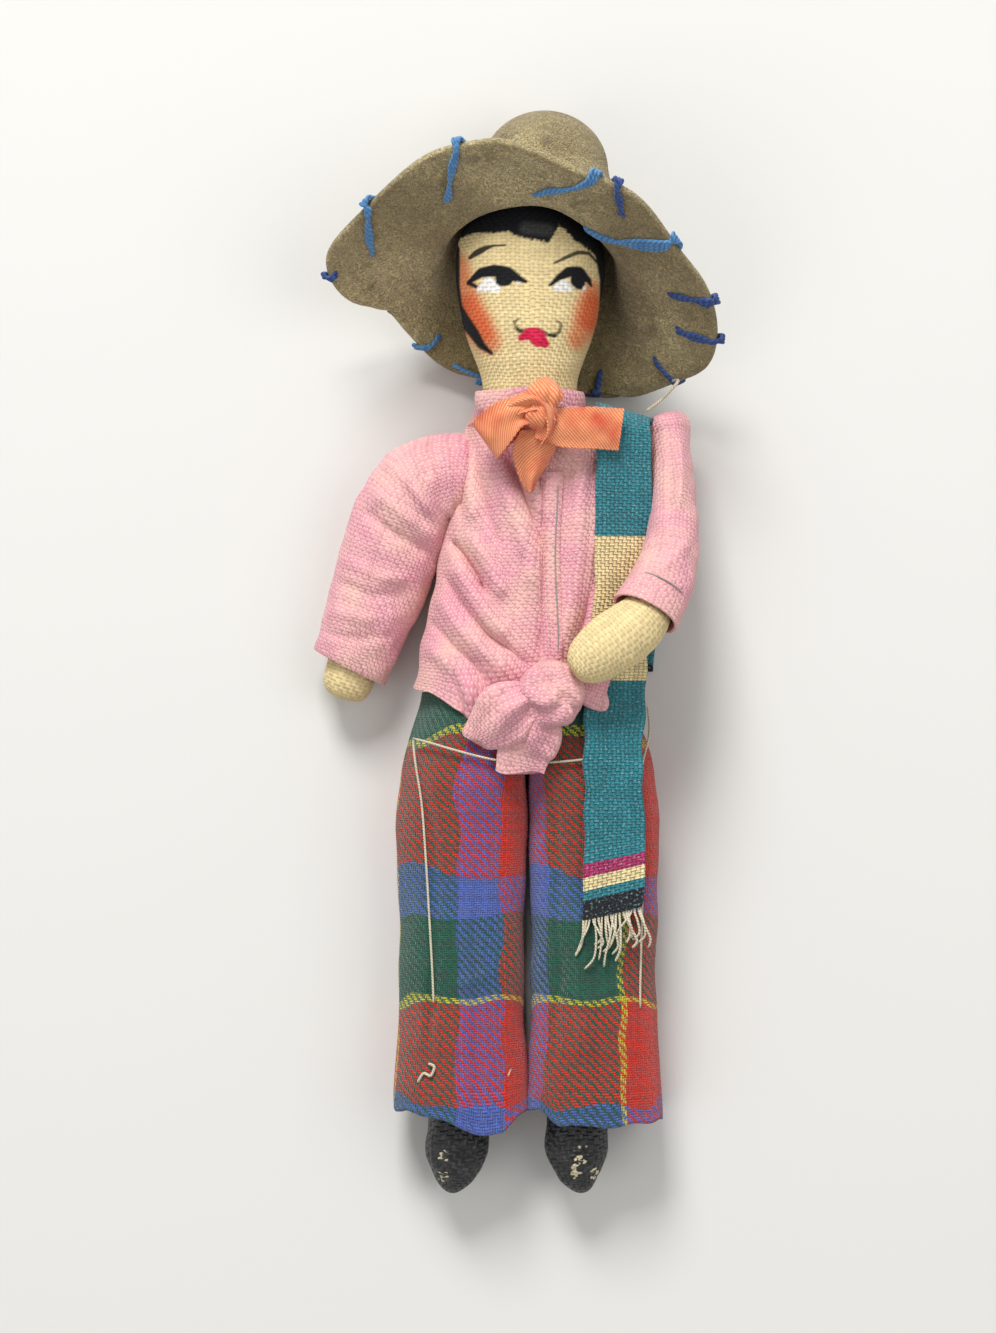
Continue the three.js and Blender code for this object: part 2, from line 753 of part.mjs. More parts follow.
function makeSarape() {
  const lift = gap + strapThick / 2;
  const path = [];
  const across = [];
  const lay = (x, y, z, lean) => {
    path.push(point(x, y, z));
    across.push(point(1, lean[0], lean[1]).setLength(sarapeWidth));
  };
  const front = [
    [sarapeHipX, hipY + gap, -0.1, seatFront],
    [14.4, 77, -0.14, seatFront],
    [15, hemY, -0.3, chestFront],
    [15.2, 92, -0.42, chestFront],
    [15.2, 101, -0.45, chestFront],
    [15.4, 110, -0.45, chestFront],
    [15.8, 118, -0.45, chestFront],
    [16, 124.5, -0.45, chestFront],
  ];
  front.forEach(([x, y, slope, surface]) => lay(x, y, restingHeight(x, y, slope, surface), [0, slope]));
  const shoulderFront = chestTopZ;
  lay(16.1, 128.8, shoulderFront - 1.4, [-0.1, -0.4]);
  lay(16.2, 130.7, shoulderFront - 3.3, [-0.25, -0.3]);
  lay(16.5, 131.1, 12.4, [-0.28, -0.05]);
  lay(17.2, 131, 8.4, [-0.26, 0.05]);
  lay(18.2, 130.4, 4.4, [-0.2, 0.1]);
  lay(19, 128.6, 1.8, [-0.1, 0.1]);
  lay(19.3, 124, 1.2, [0, 0.1]);
  lay(19.3, 110, 1.2, [0, 0.1]);
  lay(19, sarapeBackEndY, 1.2, [0, 0.1]);
  addPiece("sarape", strap(path, across, strapThick), teal);
  const legZ = legFront(1, legX) + lift;
  const lower = [hipY - gap, 64, 58, sarapeEndY].map((y) => point(sarapeHipX, y, legZ));
  addPiece("sarape_lower", strap(lower, [point(sarapeWidth, 0, 0)], strapThick), teal);
  makeFringe(legZ);
}

function makeFringe(z) {
  const top = sarapeEndY - gap;
  const half = sarapeWidth / 2;
  const low = point(sarapeHipX, top - headingLength, z);
  let shape = strap([point(sarapeHipX, top, z), low], [point(sarapeWidth, 0, 0)], strapThick);
  for (let i = 0; i < fringeStrands; i++) {
    const x = sarapeHipX - half + (sarapeWidth * (i + 0.5)) / fringeStrands;
    const drift = 0.9 * Math.sin(2.1 * i);
    const end = top - fringeLength + 1.4 * Math.cos(1.7 * i);
    const points = [
      point(x, top - headingLength / 2, z),
      point(x + drift * 0.6, (top + end) / 2, z - 0.1),
      point(x + drift * 0.5, end, z - 0.05),
    ];
    shape = joined(shape, strand(points, fringeRadius, 5, 6));
  }
  addPiece("sarape_fringe", shape, cottonThread);
}

// A place in front of the chest and the collar, by its lift above the higher of them.
function onChest([x, y, lift]) {
  const collarFront = headZ + neckRadius - collarProud;
  return point(x, y, Math.max(chestTopZ, collarFront) + lift);
}

function makeBow() {
  const knot = lobe([
    { at: onChest([2.2, 134.6, 6.6]), wide: 1.2, deep: 0.8 },
    { at: onChest([2.1, 133, 6.7]), wide: 2.9, deep: 1.5 },
    { at: onChest([2, 130, 6.3]), wide: 2.6, deep: 1.6 },
    { at: onChest([2, 127.6, 5.5]), wide: 2, deep: 1.2 },
  ]);
  addPiece("bow_knot", knot, rayon);
  const loop = [
    [-1.2, 130.6, 6.3],
    [-4.5, 129.2, 5.9],
    [-8.2, 127.2, 3.9],
    [-8.8, 126.6, 2.9],
    [-8, 126.6, 2],
    [-5, 127.2, 2.5],
    [-2.6, 127.4, 3.1],
  ].map(onChest);
  const across = point(-0.45, 1, 0).setLength(ribbonWidth + 0.5);
  addPiece("bow_loop", strap(loop, [across], ribbonThick), rayon);
  const right = [
    [5.2, 128.6, 5.3],
    [9, 128, 3.9],
    [12.5, 127.6, 2.3],
    [15.4, 127.4, 1.2],
  ].map(onChest);
  addPiece("bow_tail_right", strap(right, [point(0, ribbonWidth, 0)], ribbonThick), rayon);
  const lower = [
    [2, 126.8, 3.7],
    [2.2, 124, 2.9],
    [2.8, 121, 2.3],
    [2.8, 118.6, 2.1],
  ].map(onChest);
  const widths = [4, 6, 4.6, 1.6].map((w) => point(w, 0, 0));
  addPiece("bow_tail_lower", strap(lower, widths, ribbonThick), rayon);
}

function makeThreads() {
  const lift = gap + threadRadius;
  const tack = [
    hatSurface(1.88, 0.33, feltThick / 2 + lift),
    point(25, 136.4, 13.6),
    point(22.4, 133.6, 12.6),
    point(19.8, 131.4, 12.4),
  ];
  addPiece("tack_thread", strand(tack, threadRadius, 5, 8), cottonThread);
  const seams = [
    { name: "right_seam_thread", side: -1, outs: [6.5, 5.5, 5.1, 4.7], low: 33 },
    { name: "left_seam_thread", side: 1, outs: [8.5, 7.8, 7.6, 7.5], low: 32 },
  ];
  for (const { name, side, outs, low } of seams) {
    const high = hipY - 2;
    const path = outs.map((out, i) => {
      const x = side * (legX + out);
      const y = THREE.MathUtils.lerp(high, low, i / (outs.length - 1));
      return point(x, y, legFront(side, x) + lift + 0.2);
    });
    addPiece(name, strand(path, threadRadius, 5, 12), cottonThread);
  }
}

// Puts the origin in the middle of the underside.
function centreOnTable() {
  doll.updateMatrixWorld(true);
  const box = new THREE.Box3().setFromObject(doll);
  const middle = box.getCenter(point(0, 0, 0));
  doll.position.set(-middle.x, -middle.y, -box.min.z);
}

makeHead();
makeTorso();
makeShirt();
makeCollar();
makeRightArm();
makeLeftArm();
makeTrousers();
makeHat();
makeYarn();
makePlacket();
makeShirtKnot();
makeSarape();
makeBow();
makeThreads();
centreOnTable();

export default doll;
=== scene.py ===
import bpy
import math
import random
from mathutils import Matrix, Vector, noise


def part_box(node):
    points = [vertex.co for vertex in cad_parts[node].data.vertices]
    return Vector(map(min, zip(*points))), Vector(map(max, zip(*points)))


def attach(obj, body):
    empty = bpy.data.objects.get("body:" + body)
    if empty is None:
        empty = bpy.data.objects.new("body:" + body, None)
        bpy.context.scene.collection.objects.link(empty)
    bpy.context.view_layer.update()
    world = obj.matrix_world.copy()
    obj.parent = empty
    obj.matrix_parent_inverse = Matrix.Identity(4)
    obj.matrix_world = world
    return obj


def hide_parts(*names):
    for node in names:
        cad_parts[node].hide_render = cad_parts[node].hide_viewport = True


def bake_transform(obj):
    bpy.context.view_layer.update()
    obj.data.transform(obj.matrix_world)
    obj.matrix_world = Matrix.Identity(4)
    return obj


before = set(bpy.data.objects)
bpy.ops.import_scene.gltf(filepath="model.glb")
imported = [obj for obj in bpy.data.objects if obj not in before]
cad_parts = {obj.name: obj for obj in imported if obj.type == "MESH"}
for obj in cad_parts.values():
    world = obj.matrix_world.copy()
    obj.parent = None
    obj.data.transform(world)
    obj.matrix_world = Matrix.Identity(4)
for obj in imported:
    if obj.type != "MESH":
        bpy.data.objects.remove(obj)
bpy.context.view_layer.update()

# The doll is laid out in millimetres with its toes near y 0, and moved onto the frame by its head
headLow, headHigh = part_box("head_and_neck")
shift = Vector(((headLow[0] + headHigh[0]) / 2 - 0.0003, headHigh[1] - 0.169, 0))

# Where the photograph was taken from, in millimetres: the camera looks straight down at the table from
# distance above aim, and the picture is tall there
view = {"distance": 560, "middleX": -5.0, "middleY": 88.9, "aim": 14, "tall": 222.2}


def at(x, y, z):
    return Vector((x / 1000, y / 1000, z / 1000)) + shift


# Small helpers

def colourOf(hexCode):
    parts = [int(hexCode[i:i + 2], 16) / 255 for i in (1, 3, 5)]
    linear = [p / 12.92 if p <= 0.04045 else ((p + 0.055) / 1.055) ** 2.4 for p in parts]
    return (*linear, 1)


def deselectAll():
    if bpy.context.object and bpy.context.object.mode != "OBJECT":
        bpy.ops.object.mode_set(mode="OBJECT")
    bpy.ops.object.select_all(action="DESELECT")


def selectOnly(piece):
    deselectAll()
    bpy.context.view_layer.objects.active = piece
    piece.select_set(True)


def smoothStep(low, high, value):
    t = min(max((value - low) / (high - low), 0), 1)
    return t * t * (3 - 2 * t)


# A place at a share t of the way along the smooth line through rows of numbers
def spline(points, t, closed=False):
    count = len(points)
    spans = count if closed else count - 1
    place = t * spans
    i = math.floor(place) if closed else min(max(math.floor(place), 0), spans - 1)
    f = place - i

    def pick(k):
        if closed:
            return points[k % count]
        return points[min(max(k, 0), count - 1)]
    a, b, c, d = pick(i - 1), pick(i), pick(i + 1), pick(i + 2)
    return [0.5 * (2 * q + (r - p) * f + (2 * p - 5 * q + 4 * r - s) * f * f
                   + (3 * q - p - 3 * r + s) * f ** 3) for p, q, r, s in zip(a, b, c, d)]


# Add a node with its settings. Each input, by name or in order, is a value or another node's output
def addNode(tree, kind, inputs=(), output=0, **settings):
    node = tree.nodes.new("ShaderNode" + kind)
    for key, value in settings.items():
        setattr(node, key, value)
    for key, value in (inputs.items() if isinstance(inputs, dict) else enumerate(inputs)):
        if isinstance(value, bpy.types.NodeSocket):
            tree.links.new(value, node.inputs[key])
        else:
            node.inputs[key].default_value = value
    return node.outputs[output]


def newMaterial(name):
    material = bpy.data.materials.new(name)
    material.use_nodes = True
    shader = material.node_tree.nodes["Principled BSDF"]
    return material, material.node_tree, shader


# A sheet of cloth: a flat grid laid out by shape(u, v), with its UV map in millimetres of cloth
def modelSheet(name, columns, rows, shape, start=0):
    deselectAll()
    bpy.ops.mesh.primitive_grid_add(x_subdivisions=columns, y_subdivisions=rows, size=2)
    piece = bpy.context.object
    piece.name = name
    spots = {}
    for vertex in piece.data.vertices:
        u, v = (vertex.co.x + 1) / 2, (vertex.co.y + 1) / 2
        vertex.co = shape(u, v)
        spots[round(u * columns), round(v * rows)] = vertex.co.copy()
    across, up = [0], [start]
    for i in range(columns):
        steps = [(spots[i + 1, j] - spots[i, j]).length for j in range(0, rows + 1, 6)]
        across.append(across[-1] + 1000 * sum(steps) / len(steps))
    for j in range(rows):
        steps = [(spots[i, j + 1] - spots[i, j]).length for i in range(0, columns + 1, 6)]
        up.append(up[-1] + 1000 * sum(steps) / len(steps))
    for loop in piece.data.uv_layers.active.data:
        u, v = loop.uv
        loop.uv = (across[round(u * columns)] - across[-1] / 2, up[round(v * rows)])
    return piece


# Join the edges of a sheet where they meet, with its faces turned outward
def closeSeams(piece, distance=0.00002):
    selectOnly(piece)
    bpy.ops.object.mode_set(mode="EDIT")
    bpy.ops.mesh.select_all(action="SELECT")
    bpy.ops.mesh.remove_doubles(threshold=distance)
    bpy.ops.mesh.normals_make_consistent(inside=False)
    bpy.ops.object.mode_set(mode="OBJECT")


def capEnds(piece):
    selectOnly(piece)
    bpy.ops.object.mode_set(mode="EDIT")
    bpy.ops.mesh.select_all(action="DESELECT")
    bpy.ops.mesh.select_non_manifold(extend=False)
    bpy.ops.mesh.fill_holes(sides=0)
    bpy.ops.mesh.select_all(action="SELECT")
    bpy.ops.mesh.normals_make_consistent(inside=False)
    bpy.ops.object.mode_set(mode="OBJECT")


def applyModifier(piece, name, kind, **settings):
    selectOnly(piece)
    modifier = piece.modifiers.new(name, kind)
    for key, value in settings.items():
        setattr(modifier, key, value)
    bpy.ops.object.modifier_apply(modifier=name)


def thicken(piece, millimetres, offset=-1, levels=0):
    applyModifier(piece, "cloth thickness", "SOLIDIFY", thickness=millimetres / 1000, offset=offset)
    if levels:
        applyModifier(piece, "soften", "SUBSURF", levels=levels, render_levels=levels)


# Give a piece its material and say what body it rides and which CAD nodes it replaces
def finish(piece, material, body, slot, *nodes):
    piece.data.materials.clear()
    piece.data.materials.append(material)
    selectOnly(piece)
    bpy.ops.object.shade_smooth()
    if body:
        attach(piece, body)
    if nodes:
        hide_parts(*nodes)


# Distance from a place to a stroke drawn through points, and how far along it that is
def strokeDistance(x, y, points):
    best, along = 1e9, 0
    for i in range(len(points) - 1):
        ax, ay = points[i][:2]
        bx, by = points[i + 1][:2]
        dx, dy = bx - ax, by - ay
        length = dx * dx + dy * dy or 1e-9
        t = min(max(((x - ax) * dx + (y - ay) * dy) / length, 0), 1)
        d = math.hypot(x - ax - t * dx, y - ay - t * dy)
        if d < best:
            best, along = d, (i + t) / (len(points) - 1)
    return best, along


# How a material ends: its colour, its roughness and sheen, and a bump in millimetres
def setSurface(tree, shader, colour, height, depth, strength, surface):
    tree.links.new(colour, shader.inputs["Base Color"])
    bump = addNode(tree, "Bump", {"Strength": strength, "Distance": depth / 1000, "Height": height})
    tree.links.new(bump, shader.inputs["Normal"])
    for name, value in surface.items():
        shader.inputs[name].default_value = value


# Threads over and under each other, drawn on the piece's own UV map, which is in millimetres.
# over is how many threads a crossing passes: 1 is plain weave, 2 is twill with its slanting ribs.
# wander bends the threads, and fuzz lets the fibres of woollen threads stray over their edges
def addWeave(tree, pitchX, pitchY, over=1, wander=0.6, fuzz=0.0):
    uv = addNode(tree, "UVMap")
    split = addNode(tree, "SeparateXYZ", (uv,)).node.outputs
    drift = addNode(tree, "TexNoise", {"Vector": uv, "Scale": 0.22, "Detail": 3.0})
    bend = addNode(tree, "Math", (drift, wander * 6), operation="MULTIPLY")
    thick = addNode(tree, "TexNoise", {"Vector": uv, "Scale": 1.7, "Detail": 2.0})
    numbers, ridges, tones = [], [], []
    for axis, pitch in ((0, pitchX), (1, pitchY)):
        place = addNode(tree, "Math", (split[axis], 1 / pitch), operation="MULTIPLY")
        place = addNode(tree, "Math", (place, bend), operation="ADD")
        number = addNode(tree, "Math", (place,), operation="FLOOR")
        wave = addNode(tree, "Math", (place, math.pi), operation="MULTIPLY")
        wave = addNode(tree, "Math", (wave,), operation="SINE")
        seed = addNode(tree, "Math", (number, axis * 77.3), operation="ADD")
        numbers.append(number)
        ridges.append(addNode(tree, "Math", (wave,), operation="ABSOLUTE"))
        tones.append(addNode(tree, "TexWhiteNoise", {"W": seed}, noise_dimensions="1D"))
    step = addNode(tree, "Math", (numbers[0], numbers[1]), operation="SUBTRACT")
    step = addNode(tree, "Math", (step, 0.5 / over), operation="MULTIPLY")
    if fuzz:
        strays = addNode(tree, "TexNoise", {"Vector": uv, "Scale": 2.6, "Detail": 3.0})
        strays = addNode(tree, "MapRange", (strays, 0.38, 0.62, -fuzz, fuzz))
        loose = addNode(tree, "Math", (step, 0.5), operation="PINGPONG")
        loose = addNode(tree, "Math", (loose, strays), operation="ADD")
        pick = addNode(tree, "MapRange", (loose, 0.12, 0.38))
    else:
        part = addNode(tree, "Math", (step,), operation="FRACT")
        pick = addNode(tree, "Math", (part, 0.499), operation="GREATER_THAN")
    highest = addNode(tree, "Math", (ridges[0], ridges[1]), operation="MAXIMUM")
    lumps = addNode(tree, "Math", (thick, 0.3), operation="MULTIPLY")
    return {"uv": uv, "split": split, "pick": pick,
            "height": addNode(tree, "Mix", {0: pick, 2: ridges[0], 3: ridges[1]}, data_type="FLOAT"),
            "cover": addNode(tree, "Math", (highest, lumps), operation="ADD"),
            "tone": addNode(tree, "Mix", {0: pick, 2: tones[0], 3: tones[1]}, data_type="FLOAT")}


# A colour made darker or lighter, from low to high, as the amount goes from 0 to 1
def shade(tree, colour, amount, low, high):
    level = addNode(tree, "MapRange", (amount, 0.0, 1.0, low, high))
    return addNode(tree, "HueSaturation", {"Value": level, "Color": colour})


# Cotton gauze: fine soft threads set apart, so the pale cloth underneath shows through each gap,
# faded in clouds by the light
def cottonGauze():
    look = {"thread": "#d995a2", "gap": "#edc3bf", "faded": "#e2b0a6", "pitch": 0.62, "bump": 0.14,
            "surface": {"Roughness": 0.9, "Specular IOR Level": 0.2, "Sheen Weight": 0.15}}
    material, tree, shader = newMaterial("pink cotton gauze")
    weave = addWeave(tree, look["pitch"], look["pitch"], wander=0.5)
    fade = addNode(tree, "TexNoise", {"Vector": weave["uv"], "Scale": 0.09, "Detail": 3.0})
    fade = addNode(tree, "MapRange", (fade, 0.4, 0.62))
    thread = addNode(tree, "Mix", {0: fade, 6: colourOf(look["thread"]), 7: colourOf(look["faded"])},
                     output=2, data_type="RGBA")
    thread = shade(tree, thread, weave["tone"], 0.9, 1.1)
    closed = addNode(tree, "MapRange", (weave["cover"], 0.5, 0.9))
    base = addNode(tree, "Mix", {0: closed, 6: colourOf(look["gap"]), 7: thread}, output=2, data_type="RGBA")
    height = addNode(tree, "Math", (weave["height"], closed), operation="MULTIPLY")
    setSurface(tree, shader, base, height, look["bump"], 0.8, look["surface"])
    return material


# Stripes across the cloth: each is where it starts, in millimetres, and its colour, over one repeat
def addStripes(tree, place, start, repeat, stripes):
    share = addNode(tree, "Math", (place, start), operation="SUBTRACT")
    share = addNode(tree, "Math", (share, repeat), operation="DIVIDE")
    share = addNode(tree, "Math", (share,), operation="FRACT")
    ramp = addNode(tree, "ValToRGB", (share,))
    colours = ramp.node.color_ramp
    colours.interpolation = "CONSTANT"
    while len(colours.elements) > 1:
        colours.elements.remove(colours.elements[-1])
    for index, (begin, hexCode) in enumerate(stripes):
        point = colours.elements[0] if index == 0 else colours.elements.new(begin / repeat)
        point.position = begin / repeat
        point.color = colourOf(hexCode)
    return ramp


# Plaid wool: a woollen 2/2 twill, where warp and weft stripes mix thread by thread along slanting ribs,
# fuzzy and matt, with painted shade in the low places of the weave and its thread tops a little lighter
def plaidWool(name, mirrored):
    look = {"red": "#cc3325", "blue": "#5468b4", "green": "#245a48", "yellow": "#cdc43f", "pitch": 0.38,
            "bump": 0.22, "sway": 11, "warpStart": -25.3, "warpRepeat": 41.0, "mirrorAt": -9.3,
            "weftStart": 12, "weftRepeat": 80,
            "surface": {"Roughness": 0.95, "Specular IOR Level": 0.15, "Sheen Weight": 0.3,
                        "Sheen Roughness": 0.5}}
    material, tree, shader = newMaterial(name)
    weave = addWeave(tree, look["pitch"], look["pitch"], over=2, wander=0.12, fuzz=0.16)
    sway = addNode(tree, "TexNoise", {"Vector": weave["uv"], "Scale": 0.07, "Detail": 1.0})
    sway = addNode(tree, "Math", (sway, 0.5), operation="SUBTRACT")
    sway = addNode(tree, "Math", (sway, look["sway"]), operation="MULTIPLY")
    across = addNode(tree, "Math", (sway, 0.5), operation="MULTIPLY")
    across = addNode(tree, "Math", (across, weave["split"][0]), operation="SUBTRACT")
    if mirrored:
        across = addNode(tree, "Math", (look["mirrorAt"], across), operation="SUBTRACT")
    up = addNode(tree, "Math", (weave["split"][1], sway), operation="ADD")
    red, blue, green, yellow = (look[key] for key in ("red", "blue", "green", "yellow"))
    warp = addStripes(tree, across, look["warpStart"], look["warpRepeat"],
                      [(0, red), (10, blue), (17.5, green), (30.2, yellow), (31.3, red)])
    weft = addStripes(tree, up, look["weftStart"], look["weftRepeat"],
                      [(0, blue), (4, red), (19.9, yellow), (21, green), (34.6, blue), (42.2, red),
                       (64, yellow), (65.4, green)])
    base = addNode(tree, "Mix", {0: weave["pick"], 6: warp, 7: weft}, output=2, data_type="RGBA")
    base = shade(tree, base, weave["tone"], 0.8, 1.15)
    fibre = addNode(tree, "TexNoise", {"Vector": weave["uv"], "Scale": 3.2, "Detail": 4.0, "Roughness": 0.7})
    base = shade(tree, base, fibre, 0.6, 1.5)
    # Painted shade: the low places of the weave darkened, the thread tops a little lighter
    low = addNode(tree, "MapRange", (weave["height"], 0.2, 0.8, 0.55, 1.05))
    base = shade(tree, base, low, 0.0, 1.0)
    height = addNode(tree, "Math", (fibre, 1.2), operation="MULTIPLY")
    height = addNode(tree, "Math", (weave["height"], height), operation="ADD")
    setSurface(tree, shader, base, height, look["bump"], 0.9, look["surface"])
    return material


# Sarape cloth: a dense hand-woven strip, its weft stripes packed over a cotton warp that shows as
# fine pale flecks, with painted shade in the low places of the weave
def sarapeCloth():
    look = {"teal": "#2f808c", "cream": "#eed9a0", "magenta": "#ac2f63", "black": "#20222a",
            "fleck": "#a4cccd", "pitchX": 0.75, "pitchY": 0.5, "bump": 0.22, "length": 140,
            "surface": {"Roughness": 0.92, "Specular IOR Level": 0.2, "Sheen Weight": 0.2}}
    material, tree, shader = newMaterial("striped woven cotton")
    weave = addWeave(tree, look["pitchX"], look["pitchY"], wander=0.15)
    teal, cream, magenta, black = (look[key] for key in ("teal", "cream", "magenta", "black"))
    stripes = addStripes(tree, weave["split"][1], 0, look["length"],
                         [(0, black), (2.9, teal), (4.6, cream), (6.8, magenta), (9.1, teal),
                          (38.9, cream), (63.4, teal), (98, cream), (118, teal)])
    base = shade(tree, stripes, weave["tone"], 0.85, 1.12)
    cloud = addNode(tree, "TexNoise", {"Vector": weave["uv"], "Scale": 0.35, "Detail": 4.0})
    base = shade(tree, base, cloud, 0.75, 1.25)
    fleck = addNode(tree, "TexNoise", {"Vector": weave["uv"], "Scale": 2.4, "Detail": 2.0})
    fleck = addNode(tree, "MapRange", (fleck, 0.56, 0.7, 0.0, 0.5))
    base = addNode(tree, "Mix", {0: fleck, 6: base, 7: colourOf(look["fleck"])}, output=2, data_type="RGBA")
    # Painted shade: the low places of the weave darkened to half
    low = addNode(tree, "MapRange", (weave["height"], 0.1, 0.8, 0.5, 1.0))
    base = shade(tree, base, low, 0.0, 1.0)
    setSurface(tree, shader, base, weave["height"], look["bump"], 1.0, look["surface"])
    return material


# Rayon ribbon: bright filament yarn in a slanting twill, with painted sheen on its ribs and painted shade
# between them in soft bands, and deeper patches where the dye ran
def rayonRibbon():
    look = {"light": "#f3a172", "deep": "#d8642c", "stain": "#cf4320", "rib": 0.62, "bump": 0.1,
            "surface": {"Roughness": 0.42, "Anisotropic": 0.4, "Sheen Weight": 0.2}}
    material, tree, shader = newMaterial("rayon ribbon")
    weave = addWeave(tree, look["rib"] / 2, look["rib"] / 2, over=2, wander=0.1)
    rib = addNode(tree, "Math", (weave["split"][0], weave["split"][1]), operation="ADD")
    rib = addNode(tree, "Math", (rib, math.pi / look["rib"]), operation="MULTIPLY")
    rib = addNode(tree, "Math", (rib,), operation="SINE")
    rib = addNode(tree, "Math", (rib,), operation="ABSOLUTE")
    # Painted sheen and shade: the light colour on the rib tops, the deep colour in the grooves between them
    base = addNode(tree, "Mix", {0: rib, 6: colourOf(look["deep"]), 7: colourOf(look["light"])},
                   output=2, data_type="RGBA")
    soaked = addNode(tree, "TexNoise", {"Vector": weave["uv"], "Scale": 0.13, "Detail": 2.0})
    soaked = addNode(tree, "MapRange", (soaked, 0.48, 0.62, 0.0, 0.85))
    base = addNode(tree, "Mix", {0: soaked, 6: base, 7: colourOf(look["stain"])}, output=2, data_type="RGBA")
    height = addNode(tree, "Math", (weave["height"], 0.4), operation="MULTIPLY")
    height = addNode(tree, "Math", (rib, height), operation="ADD")
    setSurface(tree, shader, base, height, look["bump"], 0.9, look["surface"])
    return material


# Spun yarn and thread: plies twisted round each other, drawn along the strand's own UV map, with painted
# shade in the grooves between the plies. Twist is the length of one ply on the outside
def spunYarn(name, light, dark, twist):
    look = {"bump": 0.12, "surface": {"Roughness": 0.9, "Specular IOR Level": 0.2, "Sheen Weight": 0.3}}
    material, tree, shader = newMaterial(name)
    uv = addNode(tree, "UVMap")
    split = addNode(tree, "SeparateXYZ", (uv,)).node.outputs
    ply = addNode(tree, "Math", (split[0], 0.9), operation="MULTIPLY")
    ply = addNode(tree, "Math", (split[1], ply), operation="ADD")
    ply = addNode(tree, "Math", (ply, math.pi / twist), operation="MULTIPLY")
    ply = addNode(tree, "Math", (ply,), operation="SINE")
    ply = addNode(tree, "Math", (ply,), operation="ABSOLUTE")
    fuzz = addNode(tree, "TexNoise", {"Vector": uv, "Scale": 6.0, "Detail": 3.0})
    patch = addNode(tree, "TexNoise", {"Vector": uv, "Scale": 0.5, "Detail": 1.0})
    # Painted shade in the grooves between the plies, mixed with patches of lighter and darker fibre
    share = addNode(tree, "Math", (ply, patch), operation="MULTIPLY")
    base = addNode(tree, "Mix", {0: share, 6: colourOf(dark), 7: colourOf(light)}, output=2, data_type="RGBA")
    base = shade(tree, base, fuzz, 0.7, 1.3)
    height = addNode(tree, "Math", (ply, fuzz), operation="ADD")
    setSurface(tree, shader, base, height, look["bump"], 0.8, look["surface"])
    return material


# Painted cloth: thick black paint over the muslin, half filling its weave, with a low shine, rubbed
# grey on the threads and chipped to the bare cloth
def paintedCloth():
    look = {"paint": "#19191b", "worn": "#363638", "bare": "#d3c7a4", "pitch": 0.7, "bump": 0.16,
            "surface": {"Roughness": 0.4}}
    material, tree, shader = newMaterial("black paint on muslin")
    weave = addWeave(tree, look["pitch"], look["pitch"], wander=0.5)
    rubbed = addNode(tree, "TexNoise", {"Vector": weave["uv"], "Scale": 0.5, "Detail": 4.0})
    rubbed = addNode(tree, "MapRange", (rubbed, 0.45, 0.65))
    rubbed = addNode(tree, "Math", (rubbed, weave["height"]), operation="MULTIPLY")
    base = addNode(tree, "Mix", {0: rubbed, 6: colourOf(look["paint"]), 7: colourOf(look["worn"])},
                   output=2, data_type="RGBA")
    chips = addNode(tree, "Attribute", output="Fac", attribute_name="chips")
    bare = addNode(tree, "TexNoise", {"Vector": weave["uv"], "Scale": 1.1, "Detail": 2.0})
    bare = addNode(tree, "Math", (bare, chips), operation="MULTIPLY")
    bare = addNode(tree, "MapRange", (bare, 0.49, 0.54))
    base = addNode(tree, "Mix", {0: bare, 6: base, 7: colourOf(look["bare"])}, output=2, data_type="RGBA")
    height = addNode(tree, "Math", (bare, 0.8), operation="MULTIPLY")
    height = addNode(tree, "Math", (weave["height"], height), operation="SUBTRACT")
    setSurface(tree, shader, base, height, look["bump"], 0.9, look["surface"])
    return material


# Wool felt: pressed fibre with no weave, dull, mottled by handling, paler where it is worn. Fibre is
# the size of a tuft in millimetres
def woolFelt():
    look = {"body": "#ab9866", "worn": "#dbc891", "dark": "#6a5838", "fibre": 0.75, "mottle": 210,
            "cloud": 45, "bump": 0.85,
            "surface": {"Roughness": 0.95, "Specular IOR Level": 0.2, "Sheen Weight": 0.25,
                        "Sheen Roughness": 0.6}}
    material, tree, shader = newMaterial("wool felt")
    coords = addNode(tree, "TexCoord", output="Object")
    mottle = addNode(tree, "TexNoise", {"Vector": coords, "Scale": look["mottle"], "Detail": 6.0,
                                        "Roughness": 0.7})
    cloud = addNode(tree, "TexNoise", {"Vector": coords, "Scale": look["cloud"], "Detail": 3.0})
    fibre = addNode(tree, "TexNoise", {"Vector": coords, "Scale": 1000 / look["fibre"], "Detail": 4.0,
                                       "Distortion": 2.5})
    worn = addNode(tree, "MapRange", (cloud, 0.42, 0.62))
    base = addNode(tree, "Mix", {0: worn, 6: colourOf(look["body"]), 7: colourOf(look["worn"])},
                   output=2, data_type="RGBA")
    for dark in (addNode(tree, "MapRange", (mottle, 0.55, 0.75)),
                 addNode(tree, "MapRange", (fibre, 0.4, 0.64, 0.0, 0.75))):
        base = addNode(tree, "Mix", {0: dark, 6: base, 7: colourOf(look["dark"])},
                       output=2, data_type="RGBA")
    height = addNode(tree, "Math", (fibre, mottle), operation="ADD")
    setSurface(tree, shader, base, height, look["bump"], 1.0, look["surface"])
    return material
